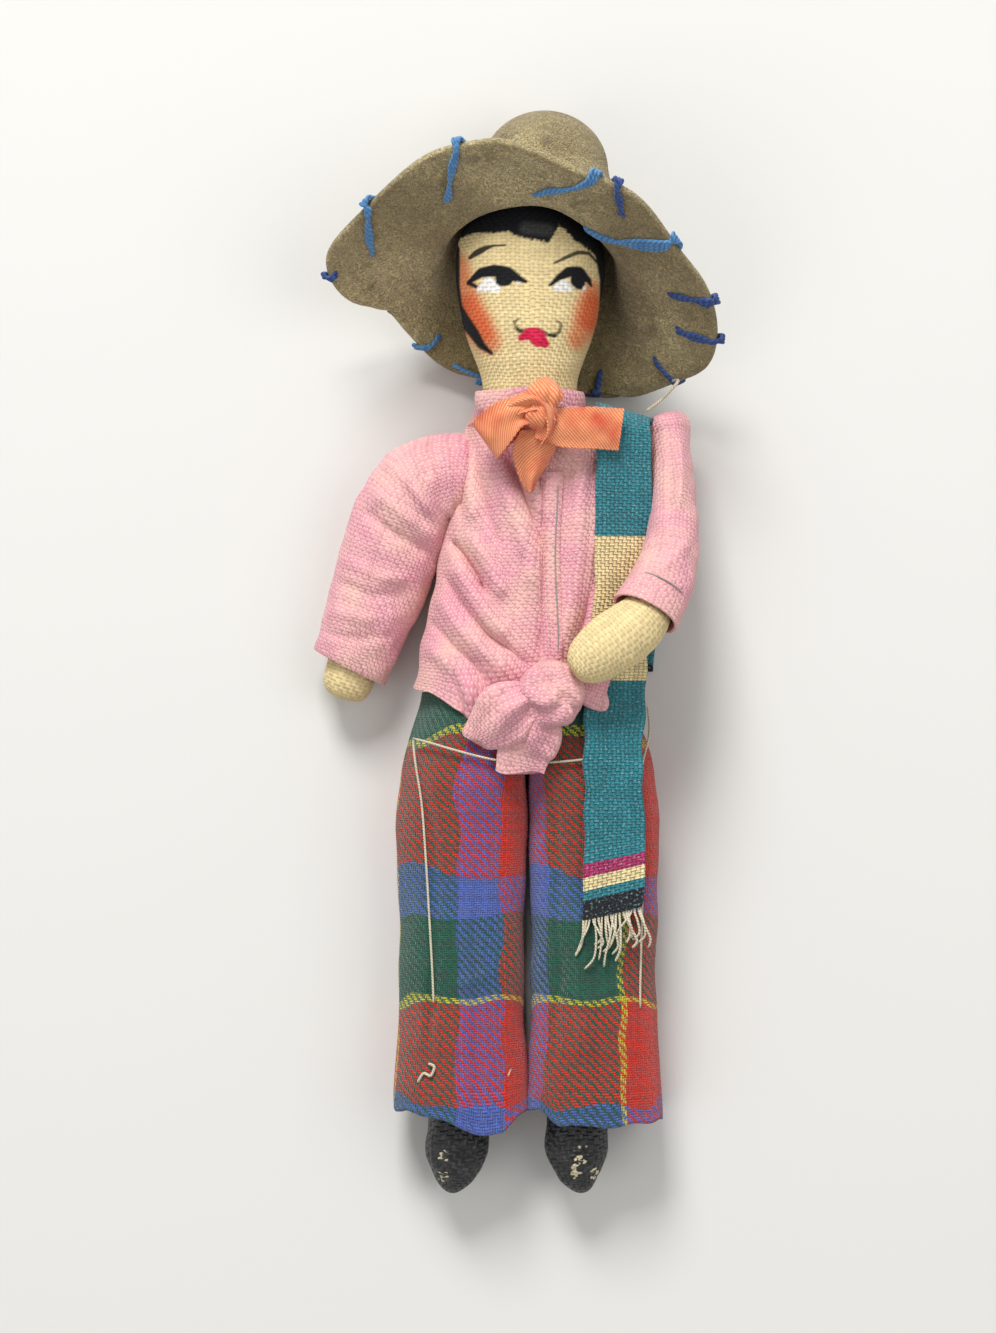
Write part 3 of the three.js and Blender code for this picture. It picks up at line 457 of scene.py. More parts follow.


# Cream cotton muslin, plain weave, a little slubby, with the face painted on in thin paint that
# leaves the weave showing, and painted shade darkening the gaps between the threads
def cottonMuslin(name, painted):
    look = {"thread": "#e2cc98", "pitch": 0.6, "bump": 0.12,
            "surface": {"Roughness": 0.88, "Specular IOR Level": 0.25}}
    material, tree, shader = newMaterial(name)
    weave = addWeave(tree, look["pitch"], look["pitch"], wander=0.35)
    thread = shade(tree, colourOf(look["thread"]), weave["tone"], 0.88, 1.08)
    slub = addNode(tree, "TexNoise", {"Vector": weave["uv"], "Scale": 0.3, "Detail": 4.0})
    thread = shade(tree, thread, slub, 0.85, 1.12)
    if painted:
        paint = addNode(tree, "Attribute", attribute_name="paint").node.outputs
        thread = addNode(tree, "Mix", {0: paint["Alpha"], 6: thread, 7: paint["Color"]},
                         output=2, data_type="RGBA")
    # Painted shade: the gaps between the threads darkened to about three quarters of the thread colour
    closed = addNode(tree, "MapRange", (weave["cover"], 0.4, 0.95, 0.76, 1.02))
    base = shade(tree, thread, closed, 0.0, 1.0)
    setSurface(tree, shader, base, weave["height"], look["bump"], 0.8, look["surface"])
    return material


# The hat: one piece of felt. Three lines round it, from the forehead by the doll's left side:
# the crown opening, the fold where the brim turns forward, and the cut edge
hat = {
    "thick": 1.3, "lumps": 0.7, "edgeWaves": 9, "edgeWave": 0.5,
    "crownBase": (0.6, 158.5, 13.8), "baseHalf": 14.6, "baseFront": (0, 6.1, 12.2),
    "crownEnd": (2.8, 172, 11.4), "endHalf": 10, "endFront": (0, 1.2, 9),
    "dome": 0.4, "domeRise": (9.2, -1.2),
    "fold": [(0.2, 166.4, 28.6), (9.8, 161.8, 26.4), (17, 154.6, 18.6), (18.6, 147, 11.4),
             (17, 141.2, 6.2), (9.5, 139.8, 3.2), (1, 140.4, 2.7), (-8, 142.2, 2.9),
             (-16, 146.6, 5), (-19.6, 152.2, 9.6), (-18.4, 158.6, 17.2), (-9.4, 165.4, 26.6)],
    "edge": [(-1.6, 171.9, 36.6), (5.4, 169.9, 36.2), (12.4, 167.3, 34.2), (18.8, 163.2, 31.4),
             (24.2, 157.6, 28), (29, 151.4, 23), (31.4, 144.8, 17.6), (30.4, 140, 12.4),
             (26.5, 137.2, 8), (20.6, 135.8, 5),
             (14.5, 135.1, 3.6), (8, 134.7, 3), (2, 134.9, 2.8), (-4, 136, 2.8), (-10, 138.2, 3),
             (-15.8, 141.2, 3.8), (-20.6, 145.2, 6), (-24.6, 150, 9.4), (-31.4, 151.2, 13.6),
             (-33.4, 156.4, 18.6), (-27.6, 163.6, 24.6), (-20.4, 168.8, 29.8), (-13.2, 172.4, 33.6),
             (-6.8, 173.8, 36)],
}


# Along goes from 0 at the crown's top over 1 at its opening to 2 at the brim's edge
def crownPlace(along, angle):
    base, end = Vector(hat["crownBase"]), Vector(hat["crownEnd"])
    endFront = Vector(hat["endFront"])
    if along < hat["dome"]:
        rise = math.pi / 2 * (1 - along / hat["dome"])
        centre = end + Vector((0, *hat["domeRise"])) * math.sin(rise)
        half = math.cos(rise) * hat["endHalf"]
        front = endFront * math.cos(rise)
    else:
        share = (along - hat["dome"]) / (1 - hat["dome"])
        centre = end.lerp(base, share)
        half = hat["endHalf"] + (hat["baseHalf"] - hat["endHalf"]) * share
        front = endFront.lerp(Vector(hat["baseFront"]), share)
    return centre + front * math.cos(angle) + Vector((half * math.sin(angle), 0, 0))


def hatPlace(along, turn):
    angle = 2 * math.pi * turn
    if along <= 1:
        place = crownPlace(along, angle)
    else:
        s = along - 1
        base = crownPlace(1, angle)
        fold = Vector(spline(hat["fold"], turn % 1, closed=True))
        edge = Vector(spline(hat["edge"], turn % 1, closed=True))
        control = fold * 2 - (base + edge) / 2
        place = base * (1 - s) ** 2 + control * 2 * s * (1 - s) + edge * s * s
    lump = noise.noise(Vector((place.x * 0.11, place.y * 0.11, place.z * 0.11)))
    lump *= hat["lumps"] * min(along, 1)
    wave = hat["edgeWave"] * math.sin(hat["edgeWaves"] * angle + 1.3) * smoothStep(1.55, 2, along)
    place.z += lump + wave * 0.6
    place.y += wave
    return place


def hatNormal(along, turn):
    step = 0.008
    ahead = hatPlace(min(along + step, 2), turn) - hatPlace(max(along - step, 0.02), turn)
    around = hatPlace(along, turn + step) - hatPlace(along, turn - step)
    return around.cross(ahead).normalized()


def makeHat(felt):
    def shape(u, v):
        along = 0.001 + 1.999 * v ** 0.85
        return at(*hatPlace(along, u))
    piece = modelSheet("felt_sombrero", 124, 84, shape)
    closeSeams(piece, 0.0001)
    thicken(piece, hat["thick"], offset=0)
    applyModifier(piece, "edge softening", "SUBSURF", levels=1, render_levels=1)
    finish(piece, felt, "trunk", "felt", "felt_hat")


# Paint on the face: each stroke is its colour, its strength, how soft its edge is, and its points with
# a brush radius, in millimetres
blackPaint, whitePaint = "#15161a", "#e8e6e0"
faceStrokes = [
    ("#d4683a", 0.75, 1.6, [(-11.6, 155.2, 1.5), (-10.8, 151, 1.8), (-9.6, 147.4, 2.1), (-8, 144.6, 2.1),
                            (-6.4, 142.4, 1.5)]),
    ("#cf4f25", 0.7, 1.4, [(-10, 148.6, 1.3), (-8.6, 145.6, 1.5), (-7.2, 143.6, 1.0)]),
    ("#d4683a", 0.75, 1.5, [(10.6, 151, 1.2), (10, 148, 1.9), (9.4, 145.4, 1.9), (8, 142.8, 1.2)]),
    ("#cf4f25", 0.7, 1.2, [(10.6, 149.2, 1.0), (9.8, 146, 1.2)]),
    (blackPaint, 1, 0.3, [(-12.6, 158, 1.2), (-12.5, 152, 1.1), (-11.9, 148.4, 0.95), (-10.4, 146, 0.85),
                          (-9, 144, 0.75), (-7.8, 142, 0.55), (-6.1, 140.5, 0.25)]),
    (blackPaint, 1, 0.3, [(11.9, 157.6, 0.9), (12.6, 153, 0.7), (12.4, 148, 0.5)]),
    (blackPaint, 0.95, 0.18, [(-9.6, 156.3, 0.3), (-8.4, 157, 0.5), (-7, 157.6, 0.38), (-5.8, 157.9, 0.16),
                              (-3.9, 157.9, 0.12)]),
    (blackPaint, 0.9, 0.15, [(4.3, 155, 0.14), (6.2, 156, 0.26), (8.1, 156.9, 0.28), (10, 157, 0.24),
                             (11.2, 155.8, 0.2)]),
    (blackPaint, 1, 0.2, [(-9.9, 152.2, 0.3), (-7.8, 153.6, 0.75), (-5.6, 153.8, 0.95), (-3.4, 153.3, 1.0),
                          (-1.7, 152.4, 0.6), (-0.4, 151.9, 0.25)]),
    (blackPaint, 1, 0.2, [(-9.8, 152.1, 0.3), (-8.4, 151.3, 0.25)]),
    (whitePaint, 1, 0.18, [(-7.9, 151, 0.55), (-6.6, 151.6, 1.15), (-5.2, 150.8, 0.65)]),
    (blackPaint, 1, 0.2, [(-4.3, 152.4, 1.15), (-3.6, 152.3, 1.0)]),
    (whitePaint, 1, 0.12, [(-1.9, 151.7, 0.2), (-1.4, 151.7, 0.15)]),
    (blackPaint, 1, 0.2, [(3.6, 151.4, 0.22), (4.9, 152.6, 0.45), (6.6, 153.6, 0.8), (8.4, 153.6, 0.95),
                          (9.9, 152.5, 0.5), (10.3, 151.8, 0.25)]),
    (whitePaint, 1, 0.18, [(4.4, 150.9, 0.45), (5.9, 151.3, 0.95), (6.8, 150.9, 0.45)]),
    (blackPaint, 1, 0.2, [(8, 152.2, 1.05), (8.3, 151.9, 1.0)]),
    (whitePaint, 1, 0.12, [(9.3, 151.4, 0.2), (9.1, 150.8, 0.12)]),
    ("#4d4a38", 0.85, 0.14, [(-0.2, 144, 0.18), (-1.3, 143.8, 0.3), (-2.1, 144.6, 0.22), (-2.4, 145.4, 0.14),
                             (-1.7, 145.8, 0.1)]),
    (blackPaint, 0.85, 0.12, [(-1.9, 144.1, 0.22), (-1.1, 143.9, 0.2)]),
    ("#4d4a38", 0.85, 0.14, [(2.3, 144, 0.14), (3.2, 143.3, 0.24), (4.3, 143.2, 0.3), (5.2, 144, 0.22),
                             (5.4, 145.2, 0.14), (4.6, 145.6, 0.1)]),
    (blackPaint, 0.85, 0.12, [(3.4, 143.3, 0.2), (4.3, 143.1, 0.26)]),
    ("#c31f45", 1, 0.18, [(-1.2, 142.8, 0.5), (0.1, 143.4, 1.0), (1.2, 143.1, 1.35), (2, 142.4, 1.25),
                          (2.7, 141.9, 0.7)]),
    ("#d8274e", 1, 0.15, [(0.6, 143.9, 0.4), (1.4, 143, 0.7)]),
]
hairLine = [(-13, 159.6), (-10.4, 160), (-9, 160.2), (-6, 160), (-3.6, 160.2), (-1.9, 159.4), (-0.6, 158.9),
            (1.5, 158.6), (3.2, 158.2), (4.2, 159.6), (5, 161.2), (6.2, 160.4), (7.4, 159), (9.5, 157.8),
            (11.4, 156.4), (13, 154.6)]


def hairEdge(x):
    for (ax, ay), (bx, by) in zip(hairLine, hairLine[1:]):
        if ax <= x <= bx:
            return ay + (by - ay) * (x - ax) / (bx - ax)
    return 158


def paintFace(x, y, frontness):
    brush = noise.noise(Vector((x * 2.2, y * 2.2, 3))) * 0.25 + noise.noise(Vector((x * 6, y * 6, 7))) * 0.12
    colour, cover = Vector((0, 0, 0)), 0.0

    def lay(hexCode, amount):
        nonlocal colour, cover
        amount = min(max(amount, 0), 1)
        paint = Vector(colourOf(hexCode)[:3])
        total = amount + cover * (1 - amount)
        if total > 0:
            colour = (paint * amount + colour * cover * (1 - amount)) / total
        cover = total
    if frontness > 0:
        for hexCode, strength, soft, points in faceStrokes:
            reach, along = strokeDistance(x, y, points)
            radius = spline([(p[2],) for p in points], along)[0] + brush * 0.5 * min(soft, 0.3)
            lay(hexCode, strength * (1 - smoothStep(-soft / 2, soft, reach - radius)))
        lay(blackPaint, smoothStep(-0.15, 0.25, y - hairEdge(x) + brush * 1.4))
        patch, _ = strokeDistance(x, y, [(-0.4, 160.8), (3.2, 160.4)])
        dry = 0.5 + 0.5 * noise.noise(Vector((x * 3, y * 7, 1)))
        lay("#6a6c64", 0.6 * dry * (1 - smoothStep(0.4, 1.6, patch)))
    back = smoothStep(0.1, -0.15, frontness + brush * 0.2) * smoothStep(141.5, 143, y + brush * 2)
    lay(blackPaint, back)
    return (*colour, cover)


# The head: each row of its profile is a height, a half-width and a half-depth
head = {"x": 0.3, "z": 14.5, "halfDepth": 9.5,
        "profile": [(132.6, 7.6, 7.3), (134.5, 7.8, 7.5), (137, 8.1, 7.8), (140, 9.1, 8.4), (143, 10.3, 8.9),
                    (146, 11.1, 9.3), (149, 11.7, 9.5), (152, 12.2, 9.7), (155, 12.4, 9.8), (158, 12.2, 9.7),
                    (161, 11.4, 9.1), (163.5, 10, 8), (165.6, 8.2, 6.6), (167.4, 5.6, 4.5), (168.6, 2.8, 2.3),
                    (169, 0, 0)]}


def makeHead(muslin):
    rows = head["profile"]

    def shape(u, v):
        if v <= 0.004:
            return at(head["x"], rows[0][0], head["z"])
        y, wide, deep = spline(rows, v)
        share = u - 0.5
        turn = 2 * math.pi * share - 0.4 * math.sin(2 * math.pi * share)  # more columns at the front
        x = head["x"] - wide * math.sin(turn)
        z = head["z"] - deep * math.cos(turn)
        lump = noise.noise(Vector((x * 0.25, y * 0.25, z * 0.25))) * 0.18
        return at(x * (1 + lump / 12), y, head["z"] + (z - head["z"]) * (1 + lump / 10))
    piece = modelSheet("stuffed_head", 300, 260, shape)
    closeSeams(piece)
    attribute = piece.data.color_attributes.new("paint", "FLOAT_COLOR", "POINT")
    for vertex, cell in zip(piece.data.vertices, attribute.data):
        x, y, z = (vertex.co - shift) * 1000
        cell.color = paintFace(x, y, (z - head["z"]) / head["halfDepth"])
    finish(piece, muslin, "trunk", "muslin", "head_and_neck")


# How much the folds lift a cloth: each is a height, a half-width and the line it runs along
def foldsAt(x, y, folds):
    total = 0
    for height, wide, points in folds:
        reach, along = strokeDistance(x, y, points)
        if reach < wide * 2.6:
            ends = smoothStep(0, 0.12, along) * smoothStep(1, 0.88, along) if 0 < along < 1 else 0
            total += height * math.exp(-(reach / wide) ** 2) * (0.35 + 0.65 * ends)
    return total


def power(value, fullness):
    return math.copysign(abs(value) ** fullness, value)


# How high a boxy oval stands at a share of its half-width
def domeHeight(share, fullness):
    s = min(abs(share), 1)
    return (1 - s ** (2 / fullness)) ** (fullness / 2)


def mix(a, b, share):
    return a + (b - a) * share


# The shirt: open pink gauze, wider than the body under it, gathered at the neck and pulled to a knot
shirt = {
    "middleZ": 9.1, "halfDepth": 9.6, "fullness": 0.85, "thick": 0.45, "bulge": 0.35, "foldHeight": 1.35,
    "shoulder": 128.3, "right": -10.3, "rightSlant": 0.196, "left": 21.2, "leftSlant": 0.15,
    "shoulderDepth": 7.6, "neck": (131.6, -8.4, 9, 14.5, 8, 1),
    "folds": [(-1.5, 0.7, [(-12.6, 110), (-10.6, 107.6), (-8.2, 103.8), (-7, 101)]),
              (1.1, 1.1, [(-12.4, 106.6), (-9.8, 101.6), (-6.6, 96.8), (-3.6, 93.6)]),
              (1.0, 0.9, [(-9.4, 110.6), (-6.2, 105), (-4, 100.6)]),
              (-0.9, 0.7, [(-13.6, 104), (-10.6, 99), (-6.6, 94.2), (-2.6, 91.4), (0.6, 88.6)]),
              (0.9, 1.1, [(-15.2, 101), (-11.6, 95.6), (-7, 91), (-2.6, 88.2)]),
              (-0.8, 0.7, [(-16.4, 97), (-12, 92), (-7.6, 88.2), (-4, 86)]),
              (0.8, 1.0, [(-17, 92.4), (-12.6, 88.8), (-8.6, 86)]),
              (-0.6, 0.6, [(-12.6, 89), (-10.6, 85.6), (-9.4, 82.6)]),
              (0.9, 1.2, [(-6.6, 128.6), (-4.6, 121), (-2.4, 114), (0.4, 107), (1.2, 101)]),
              (-0.9, 0.7, [(-4.2, 128.4), (-2.4, 122), (0.2, 115), (2.2, 108)]),
              (0.7, 0.9, [(-2, 127), (0.2, 120), (2.2, 114)]),
              (-0.7, 0.8, [(-8.8, 127.6), (-8, 121), (-6.2, 113.6), (-4.4, 108.6)]),
              (0.8, 1.0, [(-10.8, 127), (-10.2, 120), (-8.8, 113)]),
              (-0.8, 0.6, [(2.2, 120), (2.5, 108), (2.3, 98), (2, 90)]),
              (0.7, 1.1, [(8.2, 126), (8.6, 117), (8.4, 107), (6.8, 97), (5, 89.4)]),
              (-0.7, 0.7, [(10.6, 126.6), (12, 120), (11.8, 111), (10.4, 101), (8, 92)]),
              (0.5, 0.7, [(10.6, 127.6), (11.4, 121), (11.4, 114), (10.8, 105), (10.4, 96)]),
              (-0.9, 0.6, [(-9.6, 131), (-9.8, 126), (-10.4, 120), (-11, 114)])],
}


def rightSide(y):
    return shirt["right"] - (shirt["shoulder"] - y) * shirt["rightSlant"]


def leftSide(y):
    return shirt["left"] - (shirt["shoulder"] - y) * shirt["leftSlant"]


# Each ring is its height, its two sides, its middle's height over the table, its half-depth and how
# boxy it is
def shirtRings():
    rings = []
    for y, share in ((84.8, 0.96), (90, 1), (97, 1), (104, 1), (111, 1), (118, 0.98), (124, 0.93)):
        rings.append((y, rightSide(y), leftSide(y), shirt["middleZ"], shirt["halfDepth"] * share,
                      shirt["fullness"]))
    shoulder = [shirt[key] for key in ("shoulder", "right", "left", "middleZ", "shoulderDepth", "fullness")]
    for share in (0.1, 0.4, 0.7, 1):
        rings.append([mix(a, b, share) for a, b in zip(shoulder, shirt["neck"])])
    return rings


def chestFront(x, y):
    low, high = rightSide(y), leftSide(y)
    share = (x - (low + high) / 2) / ((high - low) / 2)
    return shirt["middleZ"] + domeHeight(share, shirt["fullness"]) * shirt["halfDepth"]


# How much the shirt's folds lift it at a place
def shirtFolds(x, y):
    return shirt["foldHeight"] * foldsAt(x, y, shirt["folds"])


def makeShirt(gauze):
    rings = shirtRings()

    def shape(u, v):
        y, low, high, middleZ, deep, full = spline(rings, v)
        turn = 2 * math.pi * (u - 0.5)
        c, s = power(math.cos(turn), full), power(math.sin(turn), full)
        x = (low + high) / 2 - (high - low) / 2 * s
        z = middleZ + deep * c
        front = smoothStep(-0.1, 0.5, c)
        bulge = shirt["bulge"] * noise.noise(Vector((x * 0.16, y * 0.16, z * 0.16)))
        z += front * (shirtFolds(x, y) + bulge)
        x += (1 - front) * 0.6 * noise.noise(Vector((s * 3, y * 0.2, 5)))
        hem = smoothStep(0.1, 0, v)
        y -= hem * front * (4.6 * smoothStep(-17.5, -9, x) * smoothStep(-2, -8, x)
                            + 2.2 * smoothStep(-12, -4, x)) * 0.9
        y += hem * (1 - front) * 0.8 * math.sin(s * 7)
        return at(x, y, max(z, 0.4))
    piece = modelSheet("gauze_shirt", 220, 130, shape)
    closeSeams(piece)
    thicken(piece, shirt["thick"])
    finish(piece, gauze, "trunk", "pink_gauze", "shirt_body")


# Where a limb is, along the smooth line through its points, with its cross and upward directions
def limbPlace(points):
    def place(share):
        share = min(max(share, 0), 1)
        centre = Vector(spline(points, share))
        ahead = Vector(spline(points, min(share + 0.01, 1)))
        behind = Vector(spline(points, max(share - 0.01, 0)))
        along = (ahead - behind).normalized()
        across = along.cross(Vector((0, 0, 1))).normalized()
        return centre, across, across.cross(along).normalized()
    return place


# A round of cloth along a limb: each station is a share of its length, a half-width and a half-depth
def limbSheet(name, points, stations, columns, rows, folds=(), trim=0, low=0.4, wrinkle=0.0):
    place = limbPlace(points)

    def shape(u, v):
        share, wide, deep = spline(stations, v)
        centre, across, up = place(share)
        turn = 2 * math.pi * (u - 0.5)
        c, s = math.cos(turn), math.sin(turn)
        spot = centre + across * wide * s + up * deep * c
        facing = smoothStep(-0.2, 0.6, c)
        spot += up * facing * foldsAt(spot.x, spot.y, folds)
        if wrinkle:
            lump = noise.noise(Vector((spot.x * 0.3, spot.y * 0.3, spot.z * 0.3)))
            fine = noise.noise(Vector((spot.x * 0.8, spot.y * 0.25, spot.z * 0.5)))
            spot += (across * s + up * c) * wrinkle * (lump + fine * 0.4)
        spot.y += trim * smoothStep(0.75, 1, v) * (0.5 + 0.5 * s)
        return at(spot.x, spot.y, max(spot.z, low))
    piece = modelSheet(name, columns, rows, shape)
    closeSeams(piece)
    return piece


# The sleeves, puffed over the stuffed arms and gathered into the armhole
sleeves = {
    "right": [(-8.6, 120.2, 9.4), (-12.6, 120.6, 9), (-17.2, 118.9, 8.6), (-20.6, 114.2, 8.1),
              (-22.9, 108.6, 7.6), (-25.3, 101.6, 7), (-27.9, 94.6, 6.6), (-30.1, 87.6, 6.2)],
    "rightStations": [(0, 7, 5.8), (0.1, 7.3, 6.3), (0.2, 7.9, 6.9), (0.32, 8.5, 7), (0.45, 8.7, 6.8),
                      (0.58, 8.4, 6.6), (0.72, 7.9, 6.3), (0.86, 7.1, 5.6), (0.95, 6.6, 5.1), (1, 6.3, 4.7)],
    "rightFolds": [(-1.2, 0.7, [(-9.6, 127.4), (-9.2, 122), (-10.4, 115), (-12.4, 109)]),
                   (0.7, 0.9, [(-24, 124), (-20, 119.4), (-15.4, 113.6)]),
                   (-0.8, 0.9, [(-27.5, 115), (-22.5, 111), (-16, 107.5)]),
                   (0.7, 1.2, [(-25.5, 118), (-20, 113.5), (-14.8, 109.5)]),
                   (0.5, 1.0, [(-31, 107), (-25, 103.6), (-19, 103.6)]),
                   (-0.5, 0.9, [(-31.5, 103), (-26, 100.6), (-20, 101)]),
                   (0.4, 1.1, [(-33, 98), (-27, 96.8), (-21.5, 97.5)]),
                   (-0.4, 0.9, [(-34, 94), (-28, 93.4), (-22.5, 94.2)]),
                   (0.5, 0.9, [(-19, 127), (-17.5, 121), (-15.5, 115)]),
                   (-0.5, 0.7, [(-16.6, 127.6), (-15, 122), (-13.8, 115)]),
                   (0.45, 0.8, [(-14.2, 127), (-12.8, 120), (-12.6, 113)]),
                   (-0.4, 0.8, [(-22, 126), (-21, 121), (-19.5, 116)])],
    "left": [(22.6, 131.2, 9), (23.6, 127, 10), (24.2, 119, 12.6), (24, 110.4, 16), (22.4, 103.8, 19.2),
             (19.2, 97.6, 22.2)],
    "leftStations": [(0, 0.5, 0.8), (0.02, 2.4, 2.4), (0.07, 3.6, 4.2), (0.14, 4, 5), (0.22, 3.6, 5),
                     (0.4, 3.7, 5.2), (0.58, 4.3, 5.1), (0.75, 5, 5), (0.9, 5.6, 4.8), (1, 5.7, 4.7)],
    "leftFolds": [(0.6, 0.8, [(25.5, 126), (25.6, 120), (24.6, 114)]),
                  (-0.5, 0.7, [(23.6, 125), (23.4, 118), (22.6, 112)]),
                  (0.4, 0.9, [(27, 110), (23, 106), (19.8, 104)])],
    "thick": 0.45,
}


def makeSleeves(gauze):
    right = limbSheet("right_gauze_sleeve", sleeves["right"], sleeves["rightStations"], 140, 130,
                      sleeves["rightFolds"], trim=2.4, wrinkle=0.35)
    thicken(right, sleeves["thick"])
    finish(right, gauze, None, "pink_gauze")
    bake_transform(right)
    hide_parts("right_sleeve_upper", "right_sleeve_lower")
    left = limbSheet("left_gauze_sleeve", sleeves["left"], sleeves["leftStations"], 110, 100,
                     sleeves["leftFolds"], wrinkle=0.3)
    thicken(left, sleeves["thick"])
    finish(left, gauze, "left_arm", "pink_gauze", "left_sleeve")


def makeCollar(gauze):
    collar = {"inside": 8.25, "thick": 0.54, "low": 131.4, "high": 134.6}

    def shape(u, v):
        turn = 2 * math.pi * (u - 0.5)
        y = mix(collar["low"], collar["high"], v)
        out = collar["inside"] + 0.2 + 0.25 * math.sin(math.pi * v) + 0.15 * math.sin(5 * turn + 2 * v)
        y += 0.2 * math.sin(3 * turn + 1)
        return at(head["x"] + out * math.sin(turn), y, head["z"] + (out - 0.3) * math.cos(turn))
    piece = modelSheet("gauze_collar", 120, 10, shape)
    closeSeams(piece)
    thicken(piece, collar["thick"], offset=1, levels=1)
    finish(piece, gauze, "trunk", "pink_gauze", "collar_band")


# Stuffed pieces: muslin tubes closed at both ends. Each is its CAD node, its body, its middle line and
# its stations
stuffed = {
    "rightUpper": ("right_upper_arm", "right_arm", [(-17.2, 125.2, 8.4), (-20.4, 115.8, 7.8),
                                                    (-23.8, 105.8, 7.2)],
                   [(0, 0, 0), (0.02, 2.2, 2), (0.1, 3.4, 3.2), (0.5, 4.2, 4), (0.9, 4.1, 3.9),
                    (0.98, 2.6, 2.4), (1, 0, 0)]),
    "rightFore": ("right_forearm_and_hand", "right_forearm", [(-23.9, 105.5, 7.2), (-27.5, 95, 6.5),
                                                              (-31.4, 83.4, 5.8)],
                  [(0, 0, 0), (0.02, 2.6, 2.4), (0.08, 4, 3.8), (0.5, 4.3, 3.8), (0.8, 4.3, 3.6),
                   (0.9, 3.9, 3.1), (0.96, 2.9, 2.2), (0.99, 1.5, 1.1), (1, 0, 0)]),
    "leftUpper": ("left_upper_arm", "left_arm", [(24.9, 124, 10.4), (24.7, 110, 16.2), (20, 98.9, 21.6)],
                  [(0, 0, 0), (0.04, 1.2, 1.8), (0.15, 1.8, 3), (0.5, 2.2, 3.4), (0.9, 3.3, 3.3),
                   (0.98, 2, 2), (1, 0, 0)]),
    "leftFore": ("left_forearm_and_hand", "left_forearm", [(21.2, 99.4, 20.9), (17.4, 95.4, 23),
                                                           (12, 91.4, 24.5), (7.1, 88, 25.4)],
                 [(0, 0, 0), (0.02, 2.2, 2), (0.08, 3.5, 3.1), (0.22, 4.5, 3.9), (0.45, 5.1, 4.2),
                  (0.66, 4.8, 3.8), (0.82, 4, 3.1), (0.93, 2.7, 2.1), (0.98, 1.4, 1.1), (1, 0, 0)]),
    "rightLeg": ("right_leg", "right_lower", [(-11.1, 70.2, 7.7), (-11.1, 50, 7.7), (-11.4, 30, 7.7),
                                              (-11.8, 13.3, 7.7)],
                 [(0, 0, 0), (0.02, 4.4, 4), (0.08, 5.5, 5.5), (0.6, 5.4, 5.4), (0.97, 4.5, 4.4),
                  (0.99, 3, 3), (1, 0, 0)]),
    "leftLeg": ("left_leg", "left_lower", [(11.1, 70.2, 7.7), (11.1, 50, 7.7), (9.6, 30, 7.7),
                                           (8.2, 13.3, 7.7)],
                [(0, 0, 0), (0.02, 4.4, 4), (0.08, 5.5, 5.5), (0.6, 5.4, 5.4), (0.97, 4.5, 4.4),
                 (0.99, 3, 3), (1, 0, 0)]),
    "torso": ("torso", "trunk", [(0.6, 70.9, 9.1), (-0.8, 90, 9.1), (2.2, 110, 9.1), (3.2, 122, 9.6),
                                 (2.2, 131, 13.4)],
              [(0, 0, 0), (0.01, 11, 4.4), (0.05, 14, 6.4), (0.2, 13.8, 6.8), (0.5, 13.8, 7),
               (0.8, 13, 6.8), (0.88, 10.4, 6), (0.95, 5.6, 5), (0.985, 4.2, 4), (1, 0, 0)]),
}


def makeStuffed(muslin):
    for node, body, points, stations in stuffed.values():
        piece = limbSheet("stuffed_" + node, points, stations, 90, 90, wrinkle=0.18, low=0.6)
        finish(piece, muslin, body, "muslin", node)


# The trousers: plaid wool, each half of the seat in one with its leg, so the cloth turns at the hip fold
trousers = {
    "top": 84.6, "hem": 13.2, "thick": 0.9,
    "legHalf": 10.8, "legDepth": 8.3, "legMiddle": 11.1, "legZ": 7.7,
    "frontHalf": 10.4, "frontDepth": 8.2, "frontFullness": 0.9,
    "seatHalf": 20.8, "seatDepth": 9.3, "seatZ": 9.1, "seatFullness": 0.8,
    "folds": {-1: [(-0.5, 0.9, [(-18, 70), (-15.5, 60), (-15, 45), (-16.5, 25)]),
                   (0.5, 1.2, [(-9, 74), (-8.5, 60), (-9.5, 45), (-9, 30)]),
                   (-0.4, 1.0, [(-5, 72), (-4.6, 58), (-4.4, 44)]),
                   (0.4, 1.0, [(-17, 40), (-12, 36), (-6, 38)])],
              1: [(-0.5, 0.9, [(4.4, 70), (5, 55), (5.4, 40), (4.6, 24)]),
                  (0.5, 1.2, [(8.6, 50), (9, 38), (9.2, 24)]),
                  (-0.45, 1.0, [(16.5, 66), (16.6, 50), (16.2, 34)]),
                  (0.4, 1.0, [(5, 36), (10, 33), (16, 36)])]},
}


